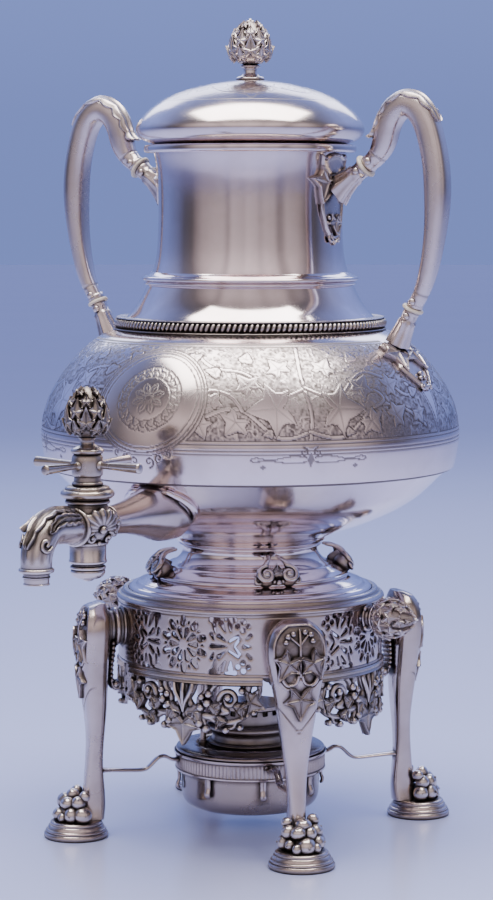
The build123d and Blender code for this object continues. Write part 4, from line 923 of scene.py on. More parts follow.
def lid_piece():
    prof = spline(LID, 24)
    seg = np.concatenate([[0], np.cumsum(np.linalg.norm(np.diff(prof, axis=0), axis=1))])
    t0, t1 = np.interp(22, prof[:200, 0], seg[:200]), np.interp(50, prof[:150, 0], seg[:150])
    t = np.concatenate([np.linspace(0, 14, 9)[:-1], np.arange(14, 44, 0.42), np.linspace(44, seg[-1], 44)])
    n = 840
    az = np.arange(n) * TAU / n
    r, z = np.interp(t, seg, prof[:, 0]), np.interp(t, seg, prof[:, 1])
    A, T = np.meshgrid(az, t)
    disp, dark = np.zeros_like(A), np.zeros_like(A)
    band = (T > 17) & (T < 42)
    R = np.repeat(r[:, None], n, 1)
    count = 12
    w = TAU / count
    a = (A + w / 2) % w - w / 2
    idx = np.floor((A + w / 2) / w).astype(int) % 2
    u = a * R
    ground = 0.05 + 0.13 * value_noise(A * 30 + 90, T + 50, 0.8, 4)
    for rad, wd in ((16.0, 0.22), (43.0, 0.26), (41.8, 0.18)):
        on = np.abs(T - rad) < wd
        dark, disp = np.where(on, 0.5, dark), np.where(on, -0.08, disp)
    dark = np.where(band, ground, dark)
    disp = np.where(band, -0.03 + 0.03 * value_noise(A * 30, T, 0.7, 5), disp)
    wave = np.abs(T - (30 + 5.0 * np.sin(A * count / 2)))
    on = (wave < 0.5) & band
    dark, disp = np.where(on, 0.4, dark), np.where(on, -0.14, disp)
    for du, ct, size, turn in ((0.0, 0, 6.2, 0), (0.5, 0, 4.2, 40)):
        uu = ((A + w / 2 + du * w) % w - w / 2) * R
        c = np.where(idx == 0, 24.4, 36.0) if du == 0 else np.full_like(A, 30.0)
        s = np.where(idx == 0, -1, 1) if du == 0 else np.ones_like(A)
        X, Y = uu * s, (T - c) * s
        q, v, rho = leaf_field(X, Y, size)
        edge = (q - 1) * rho
        on = (edge < 0.35) & band
        dark = np.where(on, np.where(np.abs(edge) < 0.35, 0.55, 0.02 + 0.35 * v), dark)
        disp = np.where(on, np.where(np.abs(edge) < 0.35, -0.08, -0.04 * v), disp)
    d = np.gradient(prof, axis=0)
    d /= np.linalg.norm(d, axis=1)[:, None]
    nr, nz = np.interp(t, seg, -d[:, 1]), np.interp(t, seg, d[:, 0])
    rr, zz = R + disp * nr[:, None], z[:, None] + disp * nz[:, None]
    v = np.stack([rr * np.sin(A), -rr * np.cos(A), zz], -1)
    acc = Acc()
    acc.add(v, [grid_faces(len(t), n, wrap_cols=True)], dark)
    lathe(acc, chain([(0.02, 398.2), (6.4, 398.2)]), n, closed=False)
    lathe(acc, chain([(51.0, 364.45), (46.6, 364.4), (46.6, 366.8), (51.6, 367.0)],
                     spline([(51.6, 367.0), (56.0, 369.6), (58.0, 372.8), (56.6, 376.2), (52.8, 380.0), (46.2, 384.8), (37.8, 389.0), (27.5, 392.3), (16.0, 394.8), (6.0, 396.0)], 4),
                     [(0.02, 396.0)]), n, closed=False)
    return acc.build("lid", ENGRAVED, "lid", "lid_shell", SILVER, weld=True)


lid_piece()
a = Acc()
lathe(a, [(45.2, 353.0), (46.4, 353.0), (46.6, 353.4), (46.6, 366.8), (45.2, 366.8)], 192)
a.build("lid_inner_ring", POLISHED, "lid", "lid_bezel", SILVER)

# finial
a = Acc()
lathe(a, chain([(0.02, 398.2), (7.2, 398.2)], spline([(7.2, 398.2), (7.5, 398.8), (6.8, 399.8), (5.0, 400.2)], 4), spline([(5.0, 400.2), (3.9, 401.6), (3.5, 403.6), (3.8, 404.6)], 4),
               spline([(3.8, 404.6), (5.0, 404.9), (5.2, 405.5), (4.4, 406.0)], 4), [(0.02, 406.0)]), 96, closed=False)
a.build("finial_foot", BUDMAT, "lid", "lid_finial_base", SILVER, weld=True)
a = Acc()
bud(a, [(4.2, 406.0), (9.0, 408.4), (10.8, 412.6), (10.2, 418.0), (7.4, 424.0), (3.6, 428.2), (1.0, 429.5)],
    [(422.4, 6, 5.6, 0.5, 0.05, 0.62), (418.6, 6, 6.8, 0.0, 0.12, 0.66), (413.6, 6, 7.6, 0.5, 0.34, 0.72), (410.4, 6, 5.6, 0.0, 0.46, 0.72), (426.4, 4, 3.4, 0.0, 0.0, 0.6)])
for k in range(5):
    ball(a, (1.6 * math.sin(k * TAU / 5), -1.6 * math.cos(k * TAU / 5), 428.2), 1.15, n=12, m=8)
ball(a, (0, 0, 429.1), 1.2, n=12, m=8)
a.build("finial_bud", BUDMAT, "lid", "lid_finial", OXIDE)

# pins that hold the urn to the stand
for side, word in ((1, "right"), (-1, "left")):
    a = Acc()
    ax = X_AXIS[side]
    prof = chain([(0.02, 57.92), (1.9, 57.92), (2.2, 58.2), (2.2, 73.4), (5.4, 73.4)], spline([(5.4, 73.4), (6.3, 73.9), (6.4, 74.7), (5.6, 75.2)], 4), [(5.2, 76.0), (0.02, 76.0)])
    t_ = Acc()
    lathe(t_, prof, 64, closed=False)
    a.add(np.concatenate(t_.v) @ ax[0].T + ax[1], t_.f, np.concatenate(t_.d))
    bud(a, [(5.2, 75.2), (8.6, 77.6), (9.8, 82.0), (8.6, 88.4), (5.6, 93.6), (2.2, 97.2), (0.8, 98.0)],
        [(91.6, 6, 5.0, 0.5, 0.05, 0.66), (87.0, 7, 6.0, 0.0, 0.12, 0.70), (82.0, 7, 6.4, 0.5, 0.26, 0.74), (78.8, 7, 4.6, 0.0, 0.34, 0.74), (95.4, 4, 3.0, 0.0, 0.0, 0.6)], axis=ax)
    a.build("pin_" + word + "_bud", BUDMAT, "pin_" + word, "retaining_pin_" + word, OXIDE)

# ------------------------------------------------------------------ handles
HANDLE = [(68.86, 353.35, 8.6, 9.4), (74.2, 357.6, 10.0, 10.4), (78.5, 364.6, 12.2, 12.2), (80.9, 373.4, 12.8, 13.4), (85.8, 381.4, 13.0, 14.4), (92.9, 384.0, 13.2, 14.8),
          (99.9, 379.2, 13.2, 14.8), (104.9, 368.0, 13.0, 14.6), (108.0, 353.6, 12.9, 14.6), (109.0, 338.0, 12.7, 14.4), (108.0, 321.0, 10.6, 13.2), (105.0, 303.0, 8.9, 11.2),
          (100.6, 289.2, 8.2, 9.6), (95.87, 280.83, 7.8, 9.0)]


class Bar:
    """A bent bar as a sheet: s round it (mm, 0 on its outer side), t along it, h out of it. Elliptical sections in a vertical plane at +X or -X."""

    def __init__(self, table, side, n=10):
        p = spline(table, n)
        self.p = p
        self.side = side
        self.len = np.concatenate([[0], np.cumsum(np.linalg.norm(np.diff(p[:, :2], axis=0), axis=1))])
        d = np.gradient(p[:, :2], axis=0)
        self.d = d / np.linalg.norm(d, axis=1)[:, None]
        self.t0 = 0.0

    def at(self, t):
        c = object.__new__(Bar)
        c.__dict__.update(self.__dict__)
        c.t0 = t
        return c

    def section(self, ang, t, h):
        g = lambda col: np.interp(t, self.len, col)
        x, z, thick, wide = g(self.p[:, 0]), g(self.p[:, 1]), g(self.p[:, 2]) / 2, g(self.p[:, 3]) / 2
        dx, dz = g(self.d[:, 0]), g(self.d[:, 1])
        nx, nz = -dz, dx                      # to the left of travel: the outer side of the bow
        ca, sa = np.cos(ang), np.sin(ang)
        nn = np.hypot(ca / thick, sa / wide)
        en, ey = ca / thick / nn, sa / wide / nn
        N, Y = thick * ca + h * en, wide * sa + h * ey
        return np.stack([self.side * (x + nx * N), Y * self.side, z + nz * N], -1)

    def __call__(self, s, t, h):
        tt = self.t0 + np.asarray(t, float)
        wide = np.interp(tt, self.len, self.p[:, 3]) / 2
        return self.section(np.asarray(s) / wide, tt, h)


for side, word in ((1, "right"), (-1, "left")):
    bar = Bar(HANDLE, side)
    L = bar.len[-1]
    t = np.linspace(0, L, 260)
    ang = np.arange(64) * TAU / 64
    A, T = np.meshgrid(ang, t)
    # narrow collars at both ends, a shallow step where they stop
    swell = 0.45 * (np.exp(-((T - 1.6) / 0.9) ** 2) + np.exp(-((T - (L - 1.6)) / 0.9) ** 2))
    groove = -0.3 * (np.exp(-((T - 8.4) / 0.4) ** 2) + np.exp(-((T - (L - 8.4)) / 0.4) ** 2))
    # slightly squared section with a soft edge down each side
    groove = groove + 0.55 * np.sin(2 * A) ** 2 * np.clip((T - 6) / 14, 0, 1) * np.clip((L - 6 - T) / 14, 0, 1)
    a = Acc()
    v = bar.section(A, T, swell + groove)
    dk = 0.6 * (np.exp(-((T - 8.4) / 0.45) ** 2) + np.exp(-((T - (L - 8.4)) / 0.45) ** 2))
    a.add(v, [grid_faces(len(t), 64, wrap_cols=True, flip=side > 0), np.array([list(range(64)) if side > 0 else list(range(64))[::-1],
          (list(range(63 + 64 * 259, 64 * 259 - 1, -1)) if side > 0 else list(range(64 * 259, 64 * 260)))])], dk)
    # leaf cap over the crest, with a curled tip and lobed sides
    crest = float(np.interp(84.0, bar.p[:50, 0], bar.len[:50]))
    for t0, t1, lobes in ((-16.0, 27.0, 7),):
        m = 120
        k = np.linspace(0, 1, m)
        tt = crest + t0 + (t1 - t0) * k
        half = 8.6 * np.sin(np.pi * np.clip(k * 0.92 + 0.06, 0, 1)) ** 0.55 * (0.80 + 0.20 * np.abs(np.sin(k * math.pi * lobes)))
        cols = 25
        c = np.linspace(-1, 1, cols)
        S = half[:, None] * c[None, :]
        TT = np.repeat(tt[:, None], cols, 1)
        ribs = 0.5 + 0.5 * np.cos(c[None, :] * math.pi * 4 + 0 * k[:, None])
        rim = np.exp(-((np.abs(c) - 0.93) / 0.07) ** 2)[None, :]
        edge = np.clip((1 - np.abs(c)) / 0.03, 0, 1)[None, :]
        end = np.clip(k / 0.03, 0, 1)[:, None] * np.clip((1 - k) / 0.03, 0, 1)[:, None]
        H = (0.65 + 0.42 * ribs + 0.55 * rim) * (0.25 + 0.75 * edge * end) + 0.3 * np.exp(-((c / 0.07) ** 2))[None, :]
        H = np.where((edge * end) < 0.3, -0.3, H)
        lift = 3.4 * np.clip((0.16 - k) / 0.16, 0, 1)[:, None] ** 1.5
        P = bar(S, TT, H + lift)
        Q = bar(S, TT, np.where(lift > 0.02, H + lift - 1.0, -0.6))
        dark = np.clip(0.75 - ribs * 0.9 - rim, 0, 1) * np.ones_like(H)
        f = grid_faces(m, cols, flip=side > 0)
        nloc = m * cols
        rimloop = np.concatenate([np.arange(cols), np.arange(1, m) * cols + cols - 1, (m - 1) * cols + np.arange(cols - 2, -1, -1), np.arange(m - 2, 0, -1) * cols])
        nx = np.roll(rimloop, -1)
        w = np.stack([rimloop, nx, nx + nloc, rimloop + nloc], -1)
        w = w if side < 0 else w[:, ::-1]
        a.add(np.concatenate([P.reshape(-1, 3), Q.reshape(-1, 3)]), [f, f[:, ::-1] + nloc, w[:, ::-1]], np.concatenate([dark.reshape(-1), np.full(nloc, 0.5)]))
    a.build("handle_" + word + "_bar", SATIN, "urn", "handle_" + word, SILVER, angle=45)


def disc_frame(side, centre, d, shift):
    L = math.hypot(*d)
    dx, dz = d[0] / L, d[1] / L
    o = np.array([side * (centre[0] + dx * shift), 0, centre[1] + dz * shift])
    ez = np.array([side * dx, 0, dz])
    ex = np.array([0, 1.0, 0])
    return matrix_from(ex, np.cross(ez, ex), ez, o)


UPPER_DISC, LOWER_DISC = ((67.4, 352.3), (0.81, 0.586)), ((95.1, 279.2), (-0.43, -0.903))
a, b = Acc(), Acc()
for side in (1, -1):
    for (c, d), shift, r in ((UPPER_DISC, 0.0, 6.4), (LOWER_DISC, -1.8, 5.6)):
        M = disc_frame(side, c, d, shift)
        t_ = Acc()
        lathe(t_, chain([(0.02, 0), (r - 0.5, 0)], spline([(r - 0.5, 0), (r, 0.5), (r, 1.3), (r - 0.5, 1.8)], 3), [(0.02, 1.8)]), 64, closed=False)
        a.add(np.concatenate(t_.v) @ M[0].T + M[1], t_.f)
    for disc, shift, half in ((UPPER_DISC, 5.2, 6.0), (UPPER_DISC, -3.4, 5.9), (LOWER_DISC, -5.0, 5.9), (LOWER_DISC, 3.2, 5.7)):
        o = disc_frame(side, disc[0], disc[1], shift)[1]
        for s in (1, -1):
            M = matrix_from(np.array([1.0, 0, 0]), np.array([0, 0, float(-s)]), np.array([0, float(s), 0]), o)
            t_ = Acc()
            lathe(t_, chain([(0.02, 0.0), (1.35, 0.0)], spline([(1.35, half - 1.1), (1.85, half - 0.6), (1.3, half + 0.15), (0.02, half + 0.4)], 4)), 24, closed=False)
            b.add(np.concatenate(t_.v) @ M[0].T + M[1], t_.f)
a.build("insulating_discs", BONE, "urn", "handle_insulators", "ivory", weld=True)
b.build("cross_pins", BUDMAT, "urn", "handle_pins", SILVER, weld=True)

# ---- shields on the neck and leaf plates on the shoulder
SHIELD_HALF = [(0.0, 1.0), (0.34, 0.98), (0.66, 0.90), (0.96, 0.98), (0.90, 0.62), (0.98, 0.30), (0.86, -0.02), (0.80, -0.34), (0.62, -0.66), (0.36, -0.90), (0.0, -1.04)]


def outline_sdf(half, sx, sy, n=160):
    o = outline(half, n) * [sx, sy]

    def f(u, v):
        d, _ = path_distance(u, v, np.concatenate([o, o[:1]]))
        ang = np.zeros_like(u)
        for i in range(n):
            p, r = o[i], o[(i + 1) % n]
            cond = (p[1] > v) != (r[1] > v)
            xs = (r[0] - p[0]) * (v - p[1]) / (r[1] - p[1] + 1e-12) + p[0]
            ang += cond & (u < xs)
        return np.where(ang % 2 == 1, d, -d)
    return f


def on_grid(f, u0, u1, v0, v1, cell):
    """Samples a slow field once, then reads it back bilinearly."""
    nu, nv = int((u1 - u0) / cell) + 2, int((v1 - v0) / cell) + 2
    gu, gv = np.linspace(u0, u1, nu), np.linspace(v0, v1, nv)
    G = f(*np.meshgrid(gu, gv, indexing="ij"))

    def g(u, v):
        x = np.clip((u - u0) / (u1 - u0) * (nu - 1), 0, nu - 1.001)
        y = np.clip((v - v0) / (v1 - v0) * (nv - 1), 0, nv - 1.001)
        i, j = x.astype(int), y.astype(int)
        fx, fy = x - i, y - j
        return (G[i, j] * (1 - fx) + G[i + 1, j] * fx) * (1 - fy) + (G[i, j + 1] * (1 - fx) + G[i + 1, j + 1] * fx) * fy
    return g


def plate(acc, surf, half, sx, sy, thick, rim=1.0, cell=0.36):
    f = on_grid(outline_sdf(half, sx, sy), -sx - 2, sx + 2, -sy * 1.06 - 2, sy * 1.06 + 2, 0.3)

    def height(u, v):
        e = f(u, v)
        return thick * (0.55 + 0.62 * np.exp(-(((e - 1.0) / 0.62) ** 2)) + 0.10 * np.exp(-(((e - 2.6) / 0.3) ** 2)))

    def dk(u, v):
        e = f(u, v)
        return np.clip(np.where(e > 1.9, 0.10 + 0.12 * value_noise(u + 60, v + 60, 0.9, 3), 0), 0, 1)
    cut_sheet(acc, f, -sx - 0.8, sx + 0.8, -sy * 1.05 - 0.8, sy * 1.05 + 0.8, cell, lambda u, v: surf(u, v, height(u, v)), lambda u, v: surf(u, v, np.full_like(u, -0.5)), dk)


neck_surf = Surf(NECK, smooth=8)
bulb_surf = Surf(BULB_UP, smooth=8)
for side, word in ((1, "right"), (-1, "left")):
    a = Acc()
    here = neck_surf.at(90.0 * side, 336.6)
    plate(a, here, SHIELD_HALF, 13.2, 23.6, 1.9)
    # ivy leaf hanging point down, two small ones under it with berries, a loop of stem at the foot
    leaf(a, here, -7.6, 7.4, 11.4, turn=-160, lift=1.6, high=1.7, curl=0.03, base=-2.2)
    leaf(a, here, 7.6, 7.4, 11.4, turn=160, lift=1.6, high=1.7, curl=0.03, base=-2.2)
    leaf(a, here, 0.0, -12.6, 6.8, turn=180, lift=1.6, high=1.5, curl=0.1, base=-1.9)
    for q in (-1, 1):
        surf_tube(a, here, [(q * 3.0, 8), (q * 10.6, 0.0), (q * 9.4, -10.0), (q * 4.0, -19.0), (0, -20.6)], [0.9, 0.7, 0.9], lift=1.3)
        scroll(a, here, q * 3.4, -21.2, 2.6, math.pi / 2, -0.9 * q, thick=0.9, lift=1.3)
        berry(a, here, q * 5.4, -10.4, 1.3, 1.5)
        berry(a, here, q * 6.6, -13.0, 1.1, 1.4)
    # fluted socket out to the disc
    M = [disc_frame(side, UPPER_DISC[0], UPPER_DISC[1], s) for s in (0.0, -1.4, -2.4, -5.4, -6.4, -9.0, -14.5, -20.0)]
    size = [(4.9, 4.5), (5.3, 4.9), (4.9, 4.5), (4.9, 4.6), (5.5, 5.3), (5.2, 5.3), (5.6, 6.9), (6.1, 9.4)]
    n = 56
    th = np.arange(n) * TAU / n
    ring = []
    for i, (m_, (w_, h_)) in enumerate(zip(M, size)):
        flute = 1 + (0.055 * np.cos(th * 8) if i >= 4 else 0)
        loc = np.stack([w_ * np.cos(th) * flute, h_ * np.sin(th) * flute, np.zeros(n)], -1)
        ring.append(loc @ m_[0].T + m_[1])
    g = np.stack(ring)
    a.add(g, [grid_faces(len(M), n, wrap_cols=True), np.array([list(range(n)), ])], np.repeat(np.array([0, 0, .5, 0, 0.3, 0.15, 0.1, 0.2])[:, None], n, 1) * (0.5 - 0.5 * np.cos(th * 8)))
    a.build("shield_" + word, PLATEMAT, "urn", "upper_socket_" + word, SILVER, angle=45)

    a = Acc()
    here = bulb_surf.at(90.0 * side, 251.5)
    down = 16.5
    f_plate = [(0.0, 0.92), (0.36, 0.94), (0.70, 0.80), (1.0, 0.86), (0.86, 0.44), (0.78, 0.16), (0.88, -0.14), (0.74, -0.36), (0.52, -0.62), (0.30, -0.88), (0.0, -1.0)]
    plate(a, here, f_plate, 15.5, down, 1.8)
    leaf(a, here, -8.2, 5.4, 11.2, turn=-168, lift=1.5, high=1.7, curl=0.02, base=-2.2)
    leaf(a, here, 8.2, 5.4, 11.2, turn=168, lift=1.5, high=1.7, curl=0.02, base=-2.2)
    for q in (-1, 1):
        surf_tube(a, here, [(q * 4.0, 9.0), (q * 11.0, 4.0), (q * 9.0, -6.0), (q * 3.0, -13.4), (0, -14.6)], [0.9, 0.7, 0.9], lift=1.3)
        scroll(a, here, q * 3.2, -14.6, 2.2, math.pi / 2, -0.9 * q, thick=0.8, lift=1.2)
        berry(a, here, q * 2.0, -9.6, 1.3, 1.6)
    berry(a, here, 0, -7.0, 1.3, 1.8)
    M = [disc_frame(side, LOWER_DISC[0], LOWER_DISC[1], s) for s in (0.0, 1.4, 2.4, 5.4, 6.4, 8.0, 13.0, 19.0)]
    size = [(4.5, 3.9), (4.9, 4.3), (4.5, 3.9), (4.7, 4.1), (5.4, 4.8), (5.2, 4.6), (6.0, 5.4), (7.0, 6.5)]
    ring = []
    for i, (m_, (w_, h_)) in enumerate(zip(M, size)):
        flute = 1 + (0.055 * np.cos(th * 8) if i >= 4 else 0)
        loc = np.stack([w_ * np.cos(th) * flute, h_ * np.sin(th) * flute, np.zeros(n)], -1)
        ring.append(loc @ m_[0].T + m_[1])
    a.add(np.stack(ring), [grid_faces(len(M), n, wrap_cols=True, flip=True), np.array([list(range(n))])], np.repeat(np.array([0, 0, .5, 0, 0.3, 0.15, 0.1, 0.2])[:, None], n, 1) * (0.5 - 0.5 * np.cos(th * 8)))
    a.build("shoulder_plate_" + word, PLATEMAT, "urn", "lower_socket_" + word, SILVER, angle=45)
# ------------------------------------------------------------------ the stand
LEG_AZ = {45.0: "front_right", -45.0: "front_left", 135.0: "rear_right", -135.0: "rear_left"}


def turned(acc, prof, M, n=64, closed=False, dark=0.0, fn=None):
    t_ = Acc()
    lathe(t_, prof, n, closed, dark, radius_fn=fn)
    acc.add(np.concatenate(t_.v) @ M[0].T + M[1], t_.f, np.concatenate(t_.d))


def plane_at(az):
    """Radial distance, sideways and height to the world, at an azimuth in degrees."""
    c, s = math.cos(math.radians(az)), math.sin(math.radians(az))
    return np.array([[s, c, 0], [-c, s, 0], [0, 0, 1.0]]), np.zeros(3)


# top rim and gallery
a = Acc()
lathe(a, chain([(58.0, 125.0), (70.9, 125.0)], spline([(70.9, 125.0), (71.4, 125.6), (71.2, 126.8), (70.2, 127.8)], 4), spline([(70.2, 127.8), (69.2, 127.9), (68.4, 128.6), (68.2, 129.4)], 4),
               spline([(68.2, 129.4), (67.6, 130.3), (66.4, 130.5), (65.2, 130.3)], 4), [(65.2, 128.0), (58.0, 128.0)]), 256)
a.build("stand_rim", STANDMAT, "stand", "stand_top_rim", SILVER)


def cap(u, v, x0, y0, x1, y1, r0, r1=None):
    r1 = r0 if r1 is None else r1
    dx, dy = x1 - x0, y1 - y0
    k = np.clip(((u - x0) * dx + (v - y0) * dy) / (dx * dx + dy * dy + 1e-12), 0, 1)
    return np.hypot(u - x0 - k * dx, v - y0 - k * dy) - (r0 + (r1 - r0) * k)


def gallery_holes(u, v):
    """Distance to the nearest opening of the pierced band, u from a panel's middle, v from the band's middle."""
    a_ = np.abs(u)
    b = np.abs(v)
    out = np.full(np.shape(u), 9.0)
    ang = np.arctan2(v, u)
    rad = np.hypot(u, v)
    for count, shift, x0, x1, r0, r1 in ((10, 0.0, 3.3, 7.0, 0.50, 1.30), (10, 0.5, 9.9, 12.0, 1.75, 1.30)):
        w = TAU / count
        g = (ang + w / 2 + shift * w) % w - w / 2
        out = np.minimum(out, cap(rad * np.cos(g), rad * np.sin(g), x0, 0, x1, 0, r0, r1))
        if shift:
            continue
    # crescents beside each outer petal
    w = TAU / 10
    g = (ang + w / 2) % w - w / 2
    X, Y = rad * np.cos(g), np.abs(rad * np.sin(g))
    out = np.minimum(out, cap(X, Y, 10.2, 0, 10.9, 0, 0.36, 0.42))
    # corner figures between rosette and frame
    for x0, y0, x1, y1, r0, r1 in ((15.2, 12.0, 19.4, 12.3, 1.25, 0.7), (16.6, 11.4, 17.4, 6.4, 1.5, 0.5), (15.4, 5.6, 16.4, 3.2, 0.95, 0.4),
                                   (15.6, 0.0, 23.0, 0.0, 1.15, 0.34), (20.4, 10.6, 22.4, 7.0, 1.45, 0.45), (19.2, 4.8, 22.4, 2.6, 1.15, 0.38), (22.6, 12.4, 27.2, 12.2, 0.6, 1.2),
                                   (25.0, 10.4, 25.2, 7.2, 1.35, 0.45), (24.6, 2.3, 29.0, 4.8, 0.6, 0.75), (29.8, 3.6, 27.4, 0.4, 0.7, 0.5), (28.8, 9.4, 28.8, 9.4, 1.3, 1.3),
                                   (31.4, 7.4, 31.4, 7.4, 1.35, 1.35), (31.6, 11.4, 31.6, 11.4, 1.35, 1.35), (34.0, 9.4, 34.0, 9.4, 1.2, 1.2), (32.2, 0.0, 35.0, 0.0, 1.1, 0.5),
                                   (33.6, 3.6, 35.2, 5.2, 0.6, 0.9)):
        out = np.minimum(out, cap(a_, b, x0, y0, x1, y1, r0, r1))
    return out


for k, word in enumerate(("front", "right", "rear", "left")):
    az0 = 90.0 * k
    half = math.radians(45.0) * 70.6
    field = on_grid(lambda u, v: gallery_holes(u / 1.03, v / 1.12) * 1.04 - 0.06, -half - 1, half + 1, -17.5, 17.5, 0.22)

    def at_radius(R, az0=az0):
        def f(u, v, R=R):
            az = math.radians(az0) + u / 70.6
            rr = R(u, v) if callable(R) else R
            return np.stack([rr * np.sin(az), -rr * np.cos(az), 108.9 + v], -1)
        return f

    def face_radius(u, v):
        e = field(u, v)
        lines = np.exp(-((np.abs(np.abs(v) - 14.7) / 0.28) ** 2))
        return 70.6 - 0.22 * np.exp(-e / 0.35) - 0.22 * lines
    a = Acc()
    cut_sheet(a, field, -half, half, -16.1, 16.1, 0.36, at_radius(face_radius), at_radius(68.7),
              lambda u, v: np.clip(0.55 * np.exp(-((np.abs(np.abs(v) - 14.7) / 0.3) ** 2)) + 0.5 * np.exp(-field(u, v) / 0.25), 0, 1))
    a.build("gallery_" + word, STANDMAT, "stand", "gallery_band", SILVER, angle=30)

# leafy openwork aprons under a plain rail
VOLUTE = spiral(24.4, 80.9, 6.2, 1.4, -math.pi * 0.55, -1.45, 46)
APRON_STEMS = [(VOLUTE, 1.75, 1.25), (spline([(VOLUTE[0, 0], VOLUTE[0, 1]), (17.4, 72.6), (9.6, 72.6), (2.8, 78.6), (0.6, 84.0)], 8), 1.75, 1.9),
               (spline([(38.0, 80.6), (34.0, 73.6), (27.6, 69.8), (19.8, 69.2), (13.4, 72.4)], 8), 1.45, 1.5), (spline([(0, 89.0), (0, 80.0), (0, 70.0)], 4), 2.7, 1.8),
               (spline([(5.6, 89.0), (4.2, 84.4), (1.4, 80.0), (0.4, 75.0)], 6), 1.9, 1.4), (spline([(12.4, 89.0), (11.8, 84.6), (8.8, 81.6), (8.4, 77.6)], 6), 1.4, 1.3),
               (spline([(35.0, 89.0), (34.2, 84.0), (36.4, 79.6)], 6), 2.1, 1.7), (spline([(18.6, 89.0), (15.6, 86.6), (14.4, 83.2)], 6), 1.3, 1.2),
               (spline([(28.6, 70.0), (26.8, 66.8), (23.6, 66.2)], 5), 1.2, 0.8), (spline([(8.8, 72.6), (11.6, 68.0), (10.4, 64.4)], 5), 1.3, 0.8),
               (spline([(40.6, 89.0), (40.4, 84.6), (38.6, 81.0)], 5), 1.6, 1.2)]
APRON_BERRIES = [(9.0, 68.2, 2.3), (12.4, 65.6, 2.0), (13.2, 79.0, 2.4), (9.6, 76.6, 2.2), (14.0, 83.6, 2.1), (10.2, 82.0, 2.0), (23.0, 65.4, 1.8), (31.4, 85.8, 1.9), (30.4, 66.8, 1.6), (37.4, 74.6, 1.6)]
APRON_LEAVES = [(0.0, 66.6, 10.6, 180, "ivy"), (6.4, 73.6, 7.4, 150, "spade"), (36.2, 79.6, 8.0, 112, "ivy"), (31.0, 76.8, 6.0, 172, "spade"), (17.4, 76.6, 5.6, 50, "spade"), (20.4, 70.0, 5.0, -150, "spade")]


def apron_field(u, v):
    u = np.abs(u)
    out = np.full(np.shape(u), -9.0)
    for p, w0, w1 in APRON_STEMS:
        d, along = path_distance(u, v, p)
        out = np.maximum(out, (w0 + (w1 - w0) * along) - d)
    for x, y, r in APRON_BERRIES:
        out = np.maximum(out, r - np.hypot(u - x, v - y))
    for x, y, size, turn, kind in APRON_LEAVES:
        R = rot2(math.radians(turn))
        du, dv = u - x, v - y
        q, _, rho = leaf_field(R[0, 0] * du + R[0, 1] * dv, R[1, 0] * du + R[1, 1] * dv, size * 0.98, kind)
        out = np.maximum(out, (1 - q) * rho * 0.8)
    return np.maximum(out, v - 88.0)


apron_lookup = on_grid(apron_field, 0, 45, 53, 95, 0.2)


for az0, word in ((0.0, "front"), (90.0, "right"), (180.0, "rear"), (-90.0, "left")):
    def on_ring(R, az0=az0):
        def f(u, v, R=R):
            az = math.radians(az0) + u / 69.8
            rr = R(u, v) if callable(R) else R
            return np.stack([rr * np.sin(az), -rr * np.cos(az), v], -1)
        return f
    field = lambda u, v: apron_lookup(np.abs(u), v)

    def face_radius(u, v):
        e = np.clip(field(u, v), 0, 3)
        rail = 1 / (1 + np.exp(-(v - 88.6) / 0.12))
        steps = 1.9 + 0.5 * np.exp(-(((v - 89.3) / 0.5) ** 2)) + 0.5 * np.exp(-(((v - 91.9) / 0.5) ** 2)) - 0.25 * np.exp(-(((v - 90.6) / 0.5) ** 2))
        return 69.2 + (1 - rail) * 1.1 * (1 - np.exp(-e / 0.7)) + rail * steps
    a = Acc()
    cut_sheet(a, lambda u, v: np.minimum(field(u, v), 92.8 - v + 0.3), -42.0, 42.0, 55.0, 92.8, 0.36, on_ring(face_radius), on_ring(67.6),
              lambda u, v: np.clip(0.75 * np.exp(-np.clip(field(u, v), 0, 9) / 0.4) * (v < 88), 0, 1))
    ring_surf = Surf([(69.8, 50.0), (69.8, 95.0)], smooth=0)
    for sgn in (1, -1):
        for x, y, size, turn, kind in APRON_LEAVES:
            if x == 0 and sgn < 0:
                continue
            here = ring_surf.at(az0 + sgn * math.degrees(x / 69.8), y)
            leaf(a, here, 0, 0, size, turn=sgn * turn, lift=0.1, high=1.5, kind=kind, curl=0.12, base=-0.9)
        for x, y, r in APRON_BERRIES:
            here = ring_surf.at(az0 + sgn * math.degrees(x / 69.8), y)
            berry(a, here, 0, 0, r * 0.95, 0.2)
        end = VOLUTE[-1]
        berry(a, ring_surf.at(az0 + sgn * math.degrees(end[0] / 69.8), end[1]), 0, 0, 1.9, 0.4)
    for q in (-1, 0, 1):
        pth = spline([(q * 5.4, 88.4, 0.6), (q * 4.2, 84.0, 1.4), (q * 1.4, 79.0, 1.2), (0, 74.0, 1.0)], 6)
        here = ring_surf.at(az0, 0.0 + 50.0)
        tube(a, here(pth[:, 0], pth[:, 1] - 50.0, pth[:, 2]), np.interp(np.linspace(0, 1, len(pth)), [0, .5, 1], [1.3, 1.2, 0.6]), sides=8)
    a.build("apron_openwork_" + word, CAST, "stand", "apron_" + word, OXIDE, angle=40)

